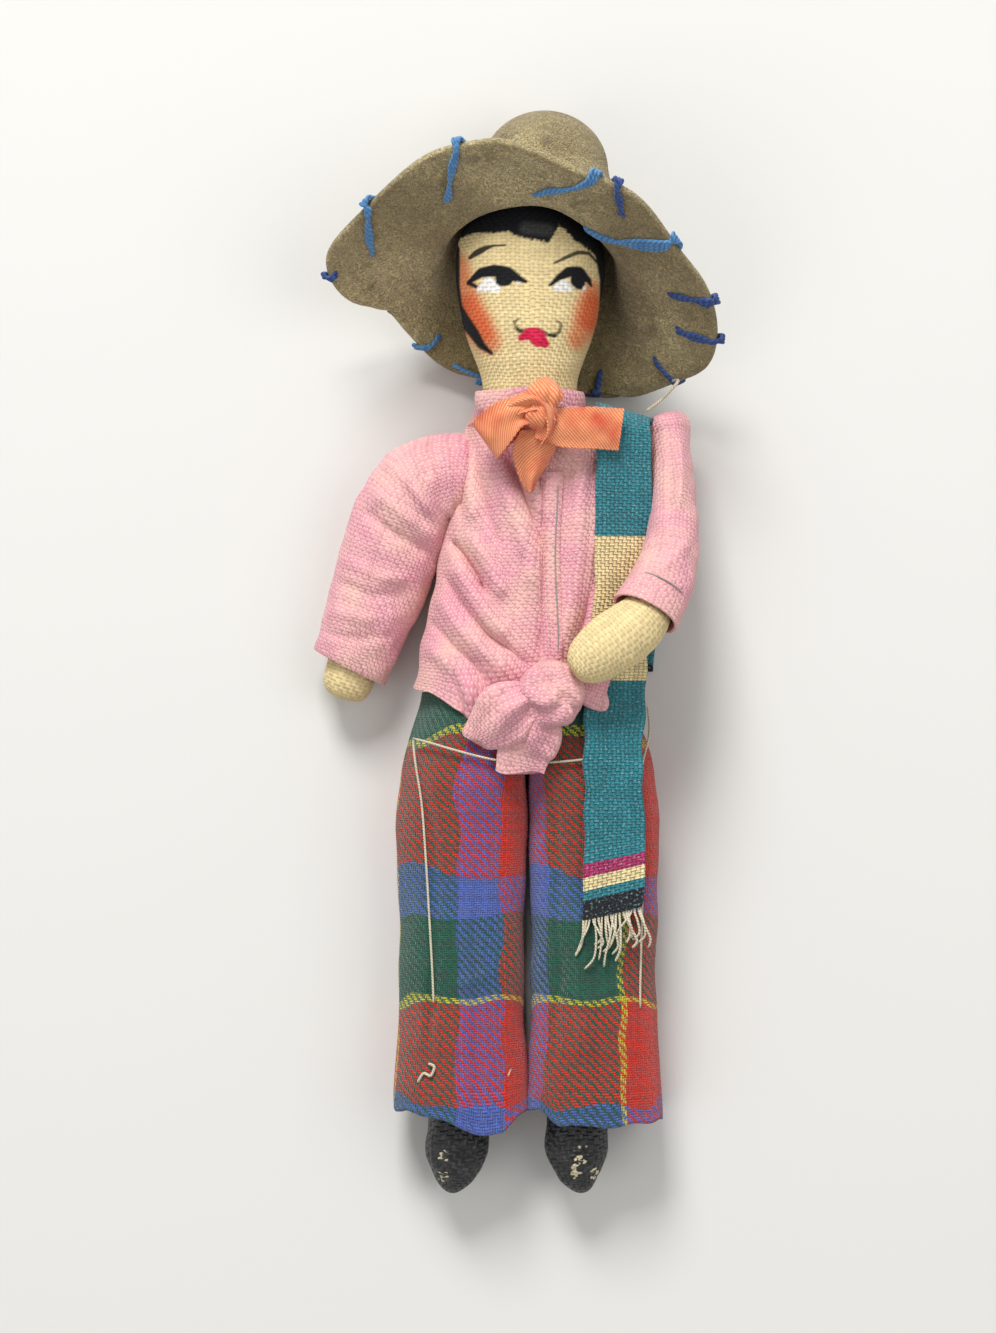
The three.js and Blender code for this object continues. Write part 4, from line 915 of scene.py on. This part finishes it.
def makeTrouserHalf(name, side, plaid, nodes):
    def shape(u, v):
        y = mix(trousers["hem"], trousers["top"], v)
        turn = 2 * math.pi * (u - 0.5)
        c, s = math.cos(turn), math.sin(turn)
        flare = 0.5 * smoothStep(30, 13, y) + 0.3 * math.sin(y * 0.12)
        wide = trousers["legHalf"] + flare
        legX = side * trousers["legMiddle"] - wide * power(s, 0.78 if s * side > 0 else 0.9)
        legZ = trousers["legZ"] + (trousers["legDepth"] + 0.2 * math.sin(y * 0.2)) * power(c, 0.82)
        outer = mix(21.4, 17.9, smoothStep(70, trousers["top"], y))
        inner = 0.12
        seatX = side * (outer + inner) / 2 - (outer - inner) / 2 * power(s, 0.72)
        seatZ = 8.8 + (domeHeight(abs(seatX) / (outer + 0.3), 0.8) * mix(9.3, 8.7, smoothStep(74, 84, y))
                       * power(c, 0.4 if s * side > 0 else 0.75))
        share = smoothStep(60, 75, y)
        x, z = mix(legX, seatX, share), mix(legZ, seatZ, share)
        front = smoothStep(-0.1, 0.5, c)
        z += front * foldsAt(x, y, trousers["folds"][side])
        lump = noise.noise(Vector((x * 0.14, y * 0.1, z * 0.14 + side)))
        z += front * 0.5 * lump
        x += 0.5 * noise.noise(Vector((side * 3, y * 0.12, s * 2)))
        dip = (-3.6 * smoothStep(-20, -6, x) + 3.4 * smoothStep(-4.6, -1, x) + 1.4 if side < 0
               else -2.4 * smoothStep(1.4, 6, x) + 1.6 + 0.5 * smoothStep(15, 21, x))
        y += smoothStep(0.09, 0, v) * (dip + 0.25 * math.sin(turn * 9))
        return at(x, y, max(z, 0.35))

    piece = modelSheet(name, 150, 190, shape, start=trousers["hem"])
    closeSeams(piece)
    thicken(piece, trousers["thick"])
    finish(piece, plaid, None, "plaid_wool")
    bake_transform(piece)
    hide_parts(*nodes)


# How high the trousers stand over the table, at the seat and at a leg
def seatFront(x):
    high = domeHeight(x / trousers["seatHalf"], trousers["seatFullness"])
    return trousers["seatZ"] + high * trousers["seatDepth"]


def legFront(side, x):
    share = (x - side * trousers["legMiddle"]) / trousers["frontHalf"]
    return trousers["legZ"] + domeHeight(share, trousers["frontFullness"]) * trousers["frontDepth"]


# The boots: the foot of each leg, painted black and narrowing to a blunt point
boots = {"right": (-11.8, -1, "right_lower"), "left": (8.2, 1, "left_lower"),
         "chips": [(-14.2, 6.7), (-14.2, 3.3), (9.2, 8.3), (8.7, 6.3), (7.8, 4.2), (11.2, 3.7)],
         "stations": [(0, 0, 0), (0.015, 3.4, 3.2), (0.06, 4.7, 4.4), (0.3, 5.3, 4.9), (0.5, 5.1, 4.7),
                      (0.66, 4.1, 4), (0.8, 2.8, 2.9), (0.91, 1.6, 1.7), (0.97, 0.8, 0.9), (1, 0, 0)]}


def makeBoots(paint):
    for side in ("right", "left"):
        x, lean, body = boots[side]
        points = [(x, 14.4, 7.7), (x, 9, 7.6), (x + lean * 0.5, 4, 7), (x + lean, 0, 6.3)]
        piece = limbSheet(side + "_painted_boot", points, boots["stations"], 110, 100, wrinkle=0.3, low=0.5)
        chips = piece.data.attributes.new("chips", "FLOAT", "POINT")
        for vertex, cell in zip(piece.data.vertices, chips.data):
            px, py = ((vertex.co - shift) * 1000)[:2]
            nearest = min(math.hypot(px - cx, (py - cy) * 0.8) for cx, cy in boots["chips"])
            cell.value = 1 - 0.35 * smoothStep(0.5, 1.6, nearest)
        finish(piece, paint, body, "black_paint", side + "_boot")


# The sarape: one woven strip from the back, over the left shoulder and down the front past the hip
sarape = {"half": 5, "thick": 0.9, "middle": 14, "end": 47.9, "overLeg": 1.0, "overChest": 1.25,
          "shoulder": [(16.1, 128.8, 17.6, -0.1, -0.4), (16.2, 130.9, 15.7, -0.25, -0.3),
                       (16.5, 131.3, 12.4, -0.28, -0.05), (17.2, 131.2, 8.4, -0.26, 0.05),
                       (18.2, 130.5, 4.4, -0.2, 0.1), (19, 128.6, 1.9, -0.1, 0.1),
                       (19.1, 124, 1.3, 0, 0.08), (18.4, 110, 1.3, 0, 0.08), (16.8, 88, 1.3, 0, 0.08)]}


# How high the strip's middle lies to clear the surface under all its width
def restHeight(x, y, slope, surface):
    across = [sarape["half"] * k / 10 for k in range(-10, 11)]
    return max(surface(x + offset, y) - slope * offset for offset in across) + sarape["overChest"]


def sarapeLegZ():
    return legFront(1, trousers["legMiddle"]) + sarape["overLeg"]


# Each row of the strip is its middle and how its width leans along y and z
def sarapePath():
    rows = []
    for y in (sarape["end"], 53, 59, 65, 70.2):
        rows.append((sarape["middle"], y, sarapeLegZ() + 1.6 * smoothStep(60, 73, y), 0, 0))
    for x, y, slope in ((14.1, 73.5, -0.12), (14.4, 78, -0.14), (15, 84.8, -0.3), (15.2, 92, -0.42),
                        (15.2, 101, -0.45), (15.4, 110, -0.45), (15.8, 118, -0.45), (16, 124.5, -0.45)):
        surface = chestFront if y > 80 else lambda x, y: seatFront(x)
        rows.append((x, y, restHeight(x, y, slope, surface), 0, slope))
    return rows + sarape["shoulder"]


def makeSarape(woven, fringeThread):
    path = sarapePath()
    places = [Vector(row[:3]) for row in path]
    lengths = [0]
    for a, b in zip(places, places[1:]):
        lengths.append(lengths[-1] + (b - a).length)
    total = lengths[-1]

    def rowAt(distance):
        i = 0
        while i < len(lengths) - 2 and lengths[i + 1] < distance:
            i += 1
        share = (distance - lengths[i]) / (lengths[i + 1] - lengths[i])
        return (i + share) / (len(path) - 1)

    def shape(u, v):
        far = v * total
        x, y, z, leanY, leanZ = spline(path, rowAt(far))
        across = Vector((1, leanY, leanZ)).normalized()
        half = sarape["half"] * (1 + 0.03 * math.sin(far * 0.21) + 0.02 * math.sin(far * 0.8))
        spot = Vector((x, y, z)) + across * (u - 0.5) * 2 * half
        ripple = 0.28 * math.sin(far * 0.3 + 1) * (u - 0.5) + 0.2 * math.sin(far * 0.16)
        spot.z += max(ripple, -0.1)
        spot.x += 0.35 * math.sin(far * 0.13) + 0.12 * math.sin(far * 0.7 + u * 4)
        spot.y += (u - 0.5) * 2.4 * smoothStep(0.12, 0.05, v)
        return at(*spot)
    piece = modelSheet("striped_sarape", 26, 330, shape)
    thicken(piece, sarape["thick"], offset=0)
    applyModifier(piece, "edge rounding", "BEVEL", width=0.0002, segments=2, limit_method="ANGLE")
    finish(piece, woven, None, "striped_wool")
    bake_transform(piece)
    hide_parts("sarape", "sarape_lower")
    # The fringe: the warp ends left long, each a twisted cotton thread
    fringe = {"strands": 20, "half": 4.7, "short": 4.4, "spread": 4.6, "slant": 0.24}
    random.seed(7)
    strands = []
    z = sarapeLegZ()
    for i in range(fringe["strands"]):
        x = sarape["middle"] - fringe["half"] + 2 * fringe["half"] * i / (fringe["strands"] - 1)
        long = fringe["short"] + fringe["spread"] * random.random()
        drift = random.uniform(-2.2, 2.2)
        curl = random.uniform(-1.4, 1.4)
        rise = random.uniform(0, 0.9)
        top = sarape["end"] + (x - sarape["middle"]) * fringe["slant"]
        path = [(x, top + 1.4, z), (x + drift * 0.1, top - 0.6, z + 0.1),
                (x + drift * 0.3 + curl * 0.6, top - long * 0.4, z + 0.2 + rise),
                (x + drift * 0.7 + curl, top - long * 0.75, z + 0.1 + rise * 0.6),
                (x + drift, top - long + curl * 0.3, z - 0.2)]
        strands.append(threadPiece("fringe", path, random.uniform(0.16, 0.25), 12))
    ends = joinPieces("cotton_fringe", strands)
    finish(ends, fringeThread, "left_lower", "cotton_thread", "sarape_fringe")


# A thread: a round tube along a smooth line
def threadPiece(name, points, radius, rows, columns=8):
    place = limbPlace(points)

    def shape(u, v):
        centre, across, up = place(v)
        ends = min(1, math.sqrt(max(0.0, 1 - (2 * abs(v - 0.5)) ** 14)) + 0.02)
        turn = 2 * math.pi * (u - 0.5)
        return at(*(centre + (across * math.sin(turn) + up * math.cos(turn)) * radius * ends))
    piece = modelSheet(name, columns, rows * 2, shape)
    closeSeams(piece, 0.000005)
    return piece


def joinPieces(name, pieces):
    deselectAll()
    for piece in pieces:
        piece.select_set(True)
    bpy.context.view_layer.objects.active = pieces[0]
    bpy.ops.object.join()
    pieces[0].name = name
    return pieces[0]


# Where on the brim a place seen in the photograph is: how far along, and the turn
def onBrim(x, y):
    best = (1e9, 1.5, 0)
    for i in range(1, 25):
        for j in range(180):
            spot = hatPlace(1 + i / 24, j / 180)
            near = view["distance"] / (view["distance"] + view["aim"] - spot.z)
            seenX = (spot.x - view["middleX"]) * near + view["middleX"]
            seenY = (spot.y - view["middleY"]) * near + view["middleY"]
            reach = (seenX - x) ** 2 + (seenY - y) ** 2 - spot.z * 0.02
            if reach < best[0]:
                best = (reach, 1 + i / 24, j / 180)
    return best[1], best[2]


# The yarn whipped over the brim by hand: each stitch is where it enters the felt, where it goes over
# the edge as a turn in degrees, whether it is light blue, and its plies
yarn = {"radius": 0.34, "apart": 0.0031,
        "stitches": [((1.2, 168.1), 26, 1, 2), ((15.6, 164.6), 34, 0, 2), ((9.6, 162.7), 58, 1, 3),
                     ((23.3, 151.4), 81, 0, 2), ((24.5, 145.2), 94, 0, 2), ((21.2, 140.8), 124, 0, 1),
                     ((12.6, 138.2), 158, 0, 1), ((-12.6, 139.6), 204, 1, 1), ((-15, 144.4), 232, 1, 1),
                     ((-31.6, 154.8), 277, 0, 1), ((-25.4, 158.4), 303, 1, 2), ((-13.8, 166.8), 334, 1, 2)]}


def makeYarn(darkYarn, lightYarn):
    lift = hat["thick"] / 2 + yarn["radius"] * 0.75
    for number, (entry, degrees, light, plies) in enumerate(yarn["stitches"]):
        along, turn = onBrim(*entry)
        edge = degrees / 360
        gap = ((turn - edge + 0.5) % 1) - 0.5
        strands = []
        for ply in range(plies + 1):
            aside = (ply - plies / 2) * yarn["apart"]

            def under(share, height):
                far, turned = mix(2, along, share), edge + gap * share + aside * math.cos(share * 5 + number)
                return tuple(hatPlace(far, turned) + hatNormal(far, turned) * height)

            def above(share, height):
                far, turned = mix(2, along, share), edge - gap * share + aside
                return tuple(hatPlace(far, turned) - hatNormal(far, turned) * height)
            over = hatPlace(2, edge + aside)
            out = (over - hatPlace(1.9, edge + aside)).normalized()
            uneven = 0.12 * math.sin(number * 2.3 + ply * 1.9)
            points = [under(1, lift - 0.7), under(0.9 + uneven * 0.3, lift), under(0.62, lift + 0.1 + uneven),
                      under(0.3, lift + 0.12), under(0.06, lift), tuple(over + out * (lift + 0.15)),
                      above(0.1, lift), above(0.5, lift), above(0.9, lift - 0.6)]
            strands.append(threadPiece("ply", points, yarn["radius"], 28))
        piece = joinPieces("yarn_stitch_%d" % (number + 1), strands)
        colour = lightYarn if light else darkYarn
        finish(piece, colour, "trunk", "blue_yarn", "brim_stitch_%d" % (number + 1))


# The tack thread from the brim to the shoulder, and the seam threads that lie on the trousers
def makeThreads(cottonThread):
    lift = 0.75
    edge = hatPlace(1.9, 0.33) + hatNormal(1.9, 0.33) * 1.0
    tackPlaces = [tuple(edge), (25, 136.4, 13.6), (22.4, 133.6, 12.6), (19.8, 131.6, 12.6)]
    tack = threadPiece("tack_stitch", tackPlaces, 0.26, 30)
    finish(tack, cottonThread, "trunk", "cotton_thread", "tack_thread")
    seams = {"right_seam_stitching": (-1, "right_lower", "right_seam_thread",
                                      [(8.1, 76.8), (7.6, 72.5), (6.6, 66), (5.9, 57), (5.3, 47), (4.8, 38),
                                       (4.6, 33)]),
             "left_seam_stitching": (1, "left_lower", "left_seam_thread",
                                     [(8.8, 82.4), (9.2, 78), (7.9, 72.5), (7.3, 67), (8.2, 61), (8, 53),
                                      (7.8, 44), (7.6, 36), (7.6, 32)]),
             "waist_stitching": (-1, None, None, [(8.2, 77), (5, 76.2), (1.5, 75.2), (-4, 73.8), (-10, 72.8),
                                                  (-14, 73), (-19, 73.4), (-23, 74)])}
    for name, (side, body, node, outs) in seams.items():
        points = []
        for out, y in outs:
            x = side * (trousers["legMiddle"] + out)
            under = mix(legFront(side, x) if body else 0, seatFront(x), smoothStep(66, 74, y))
            points.append((x, y, under + lift + 0.12 * math.sin(y * 1.3)))
        piece = threadPiece(name, points, 0.19, 70)
        finish(piece, cottonThread, None if body else "trunk", "cotton_thread", *([node] if node else []))
        if body:
            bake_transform(piece)


# Ends of thread left loose low on the right trouser leg, each a small curl that lies on the wool
def makeLooseEnds(cottonThread):
    curls = {"loose_thread_outer": [(-18.4, 19.6), (-17.4, 21.2), (-16.2, 20.9), (-15.6, 22.4),
                                    (-16.6, 22.9)],
             "loose_thread_inner": [(-3.4, 20.6), (-2.9, 22), (-2.6, 23.3), (-2, 24), (-1.9, 25)]}
    for name, places in curls.items():
        path = [(x, y, legFront(-1, x) + 0.6) for x, y in places]
        piece = threadPiece(name, path, 0.24, 20)
        finish(piece, cottonThread, "right_lower", "cotton_thread")


# The grey machine stitching that holds the cuff's hem and the placket
def makeHemStitches(greyThread):
    cuff = []
    centre, across, up = limbPlace(sleeves["left"])(0.87)
    for i in range(15):
        turn = math.radians(-75 + 150 * i / 14)
        reach = 5.55 + 0.5 * math.cos(turn * 3)
        cuff.append(tuple(centre + across * reach * math.sin(turn) + up * 5.05 * math.cos(turn)))
    hem = threadPiece("left_cuff_stitching", cuff, 0.11, 60)
    finish(hem, greyThread, "left_arm", "cotton_thread")
    line = []
    for i in range(14):
        y = 91.5 + 2.1 * i
        x = 4.7 + 0.25 * math.sin(y * 0.22)
        line.append((x, y, chestFront(x, y) + shirtFolds(x, y) + 0.95))
    placket = threadPiece("placket_stitching", line, 0.11, 80)
    finish(placket, greyThread, "trunk", "cotton_thread")


# The placket: a doubled strip down the front
def makePlacket(gauze):
    def shape(u, v):
        y = mix(89.5, 121, v)
        x = 3.6 + (u - 0.5) * 3.6 + 0.25 * math.sin(y * 0.22)
        z = chestFront(x, y) + shirtFolds(x, y) + 0.55 + 0.2 * math.cos((u - 0.5) * 4)
        return at(x, y, z)
    piece = modelSheet("front_placket", 20, 110, shape)
    thicken(piece, shirt["thick"], offset=0)
    applyModifier(piece, "edge rounding", "BEVEL", width=0.0001, segments=2, limit_method="ANGLE")
    finish(piece, gauze, "trunk", "pink_gauze", "placket")


# The knot in the shirt tails: rolled cloth wound round itself, and the ends coming out of it.
# Each end is its middle line, then half-widths and half-depths along it
knot = {"centre": (3.6, 84.3, 21.3), "half": (5.6, 5.4, 3.9),
        "ends": {
            "tail_end_right": ("shirt_tail_right", [(1.6, 83.6, 20.8), (-2.6, 81.8, 21.2), (-6, 79.2, 20.4),
                                                    (-9.2, 76.9, 19.2)],
                               [(0, 2.4, 1.8), (0.25, 4.2, 2.6), (0.55, 5.4, 2.6), (0.8, 5, 1.9),
                                (0.94, 3.6, 1.1), (1, 2.2, 0.5)]),
            "tail_end_left": ("shirt_tail_left", [(2.8, 81.6, 20.8), (1.2, 78.4, 20.4), (-0.6, 75, 19.7),
                                                  (-1.4, 71.4, 19.1)],
                              [(0, 2.4, 1.6), (0.25, 4.4, 1.9), (0.6, 5, 1.5), (0.9, 4.4, 0.7),
                               (1, 3.9, 0.4)]),
            "tail_hem_left": (None, [(6.6, 85, 20.6), (9.2, 85.2, 20), (11.4, 84.6, 19), (13, 84, 18)],
                              [(0, 1.6, 1.2), (0.3, 2.6, 1), (0.7, 2.9, 0.7), (1, 2.8, 0.4)])}}


def makeKnot(gauze):
    cx, cy, cz = knot["centre"]
    a, b, c = knot["half"]

    def shape(u, v):
        turn, rise = 2 * math.pi * (u - 0.5), math.pi * (v - 0.5)
        n = Vector((math.cos(rise) * math.sin(turn), math.sin(rise), math.cos(rise) * math.cos(turn)))
        reach = math.hypot(n.x + 0.1, n.y - 0.15)
        swirl = math.atan2(n.y - 0.15, n.x + 0.1)
        groove = math.sin(swirl + reach * 8.5)
        puff = 1 + 0.085 * groove * smoothStep(0.06, 0.3, reach) + 0.07 * noise.noise(n * 1.9)
        puff -= 0.16 * math.exp(-((n.x * 0.75 + n.y * 0.66 - 0.25) / 0.13) ** 2) * smoothStep(-0.2, 0.4, n.z)
        return at(cx + a * n.x * puff, cy + b * n.y * puff, cz + c * n.z * puff)
    piece = modelSheet("shirt_tail_knot", 120, 100, shape)
    closeSeams(piece)
    finish(piece, gauze, "trunk", "pink_gauze", "shirt_knot")
    for name, (node, points, stations) in knot["ends"].items():
        place = limbPlace(points)

        def shapeEnd(u, v):
            _, wide, deep = spline(stations, v)
            centre, across, up = place(v)
            turn = 2 * math.pi * (u - 0.5)
            loose = smoothStep(1, 0.35, v)
            crease = 1 + 0.28 * math.sin(math.sin(turn) * 6 + v * 4) * loose
            spot = centre + across * wide * math.sin(turn)
            spot += up * deep * math.cos(turn) * (crease if math.cos(turn) > 0 else 1)
            spot += up * 0.3 * noise.noise(Vector((spot.x * 0.5, spot.y * 0.5, 2))) * loose
            along = (centre - Vector(points[0])).normalized()
            return at(*(spot + along * smoothStep(0.85, 1, v) * 0.8 * math.sin(math.sin(turn) * 2.4)))
        piece = modelSheet(name, 90, 70, shapeEnd)
        closeSeams(piece)
        capEnds(piece)
        finish(piece, gauze, "trunk", "pink_gauze", *([node] if node else []))


# The neck ribbon: picot-edged rayon, tied in front in a one-loop bow. Each row of a length of ribbon
# is its middle, its width and the slant of its weft, in degrees
ribbon = {"thick": 0.26, "picot": 0.95,
          "loop": [(0.4, 130.2, 25.2, 3, 95), (-1.4, 130.4, 26, 4.6, 101), (-3.4, 129.4, 26.1, 6.2, 110),
                   (-5.4, 127.7, 25.5, 6.9, 119), (-6.9, 126.2, 24.3, 7, 125), (-7.1, 126, 23, 6.9, 125),
                   (-5.6, 127, 22.3, 6.2, 119), (-3.2, 128.2, 22.7, 4.8, 108), (-0.6, 129.2, 23.4, 3, 95)],
          "right": [(1.2, 128.6, 25, 4.4, 86), (3.2, 128.4, 25.4, 5.6, 88), (5.4, 128, 24.7, 6.2, 90),
                    (8, 128, 23.6, 6.5, 91), (11, 128.1, 22.4, 6.7, 88), (14, 128, 21, 6.7, 85),
                    (15.3, 128, 20.5, 6.7, 82)],
          "lower": [(1.2, 127.8, 24, 4.6, 4), (1, 126, 23.8, 6.4, 6), (0.9, 124.2, 22.9, 6.9, 8),
                    (0.7, 122.2, 22.2, 5.4, 12), (0.5, 120.2, 21.6, 3.6, 18), (0.4, 118.4, 21.2, 1.6, 26),
                    (0.3, 117.6, 21.1, 0.5, 30)],
          "cross": [(-3.4, 130.8, 25.4, 2.4, 100), (-1.2, 131.8, 26.4, 3, 112), (0.8, 132.2, 26.7, 3.4, 118),
                    (2.6, 131.2, 26.8, 4.2, 100), (3.6, 129, 26.6, 4.8, 76), (3.4, 126.8, 25.6, 4, 50),
                    (2.8, 125.6, 24.6, 2.6, 40)],
          "knot": [(3, 136.2, 24.8), (2.7, 134, 25.7), (2.3, 131.8, 25.6), (1.8, 129.2, 25.2),
                   (1.6, 127.2, 24.2)],
          "knotStations": [(0, 0.2, 0.2), (0.03, 1.6, 0.9), (0.1, 2.5, 1.4), (0.2, 2.8, 1.7), (0.3, 2.6, 1.5),
                           (0.4, 2, 1.2), (0.52, 2.1, 1.5), (0.7, 2.8, 1.6), (0.9, 2.4, 1.2),
                           (0.98, 1.2, 0.6), (1, 0.2, 0.2)]}


def makeRibbon(rayon):
    pieces = {"loop": ("bow_ribbon_loop", "bow_loop", 3.2),
              "right": ("bow_ribbon_end", "bow_tail_right", 1.4),
              "lower": ("bow_ribbon_point", "bow_tail_lower", 2.2),
              "cross": ("bow_ribbon_turn", None, 2.6)}
    for key, (name, node, pleats) in pieces.items():
        path = ribbon[key]
        span = sum((Vector(b[:3]) - Vector(a[:3])).length for a, b in zip(path, path[1:]))

        def shape(u, v):
            x, y, z, wide, slant = spline(path, v)
            slant = math.radians(slant)
            side = (u - 0.5) * 2
            edge = smoothStep(0.86, 1, abs(side))
            picot = 0.16 * edge * abs(math.sin(v * span * math.pi / ribbon["picot"]))
            spot = Vector((x, y, z))
            spot += Vector((math.cos(slant), math.sin(slant), 0)) * side * (wide / 2 + picot)
            gathered = smoothStep(6.6, 3, wide)
            spot.z += (0.12 + 0.5 * gathered) * math.sin(side * math.pi * pleats / 2 + v * 2)
            spot.z -= 0.35 * side * side * (1 - gathered)
            spot.z += 0.22 * noise.noise(Vector((u * 3, v * span * 0.35, len(name))))
            return at(*spot)
        piece = modelSheet(name, 56, 150, shape)
        thicken(piece, ribbon["thick"], offset=0)
        finish(piece, rayon, "trunk", "rayon_ribbon", *([node] if node else []))
    # The bow's knot: a round pleated top over the core that the ribbon turns round
    place = limbPlace(ribbon["knot"])

    def shapeKnot(u, v):
        _, wide, deep = spline(ribbon["knotStations"], v)
        centre, across, up = place(v)
        turn = 2 * math.pi * (u - 0.5)
        pleat = 1 + 0.12 * math.sin(turn * 7 + v * 3) * smoothStep(0.08, 0.3, v)
        return at(*(centre + across * wide * math.sin(turn) * pleat + up * deep * math.cos(turn) * pleat))
    piece = modelSheet("bow_ribbon_knot", 90, 70, shapeKnot)
    closeSeams(piece, 0.0001)
    capEnds(piece)
    finish(piece, rayon, "trunk", "rayon_ribbon", "bow_knot")


# The camera over the doll, the pale table, and soft light with one stronger lamp beyond the hat
def setScene():
    light = {"sensor": 36, "table": "#d9d8d4", "room": 0.38,
             "lamps": [((-0.22, 0.95, 0.75), 0.42, 15.5), ((0.7, 0.1, 0.9), 0.8, 3.4),
                       ((-0.7, -0.4, 0.9), 0.8, 2.6)]}
    deselectAll()
    high = view["aim"] + view["distance"]
    bpy.ops.object.camera_add(location=at(view["middleX"], view["middleY"], high), rotation=(0, 0, 0))
    camera = bpy.context.object
    camera.data.sensor_width = light["sensor"]
    camera.data.lens = light["sensor"] * view["distance"] / view["tall"]
    camera.data.clip_start = 0.01
    bpy.context.scene.camera = camera
    bpy.ops.mesh.primitive_plane_add(size=6, location=(0, 0, 0))
    floor = bpy.context.object
    floor.name = "pale_table"
    material, _, shader = newMaterial("matt board")
    shader.inputs["Base Color"].default_value = colourOf(light["table"])
    shader.inputs["Roughness"].default_value = 0.9
    floor.data.materials.append(material)
    for place, size, power in light["lamps"]:
        bpy.ops.object.light_add(type="AREA", location=place)
        lamp = bpy.context.object
        lamp.data.size = size
        lamp.data.energy = power
        lamp.rotation_euler = (Vector((0, 0, 0)) - Vector(place)).to_track_quat("-Z", "Y").to_euler()
    world = bpy.data.worlds.new("soft room")
    bpy.context.scene.world = world
    world.use_nodes = True
    world.node_tree.nodes["Background"].inputs[0].default_value = (1, 1, 1, 1)
    world.node_tree.nodes["Background"].inputs[1].default_value = light["room"]
    bpy.context.scene.view_settings.view_transform = "Standard"


setScene()
print("camera, table and lamps placed")
makeHat(woolFelt())
print("felt hat shaped")
makeHead(cottonMuslin("painted cotton muslin", True))
print("head stuffed and face painted")
gauze = cottonGauze()
makeStuffed(cottonMuslin("cotton muslin", False))
print("limbs and body stuffed")
makeShirt(gauze)
makeSleeves(gauze)
makeCollar(gauze)
makePlacket(gauze)
makeKnot(gauze)
print("shirt sewn and tied")
makeTrouserHalf("right_plaid_trouser", -1, plaidWool("plaid wool, right leg", True),
                ("right_trouser_leg", "trouser_seat"))
makeTrouserHalf("left_plaid_trouser", 1, plaidWool("plaid wool, left leg", False),
                ("left_trouser_leg", "trouser_seat"))
makeBoots(paintedCloth())
print("trousers and boots made")
cream = spunYarn("cotton thread", "#efe6cf", "#b9ad90", 0.5)
makeSarape(sarapeCloth(), cream)
makeRibbon(rayonRibbon())
print("sarape hung and ribbon tied")
makeYarn(spunYarn("navy wool yarn", "#4b6aa8", "#25386c", 0.9),
         spunYarn("light blue wool yarn", "#76a9cf", "#386da6", 0.9))
makeThreads(cream)
makeLooseEnds(cream)
makeHemStitches(spunYarn("grey sewing thread", "#b4aeab", "#8b8886", 0.4))
print("stitches and threads laid")
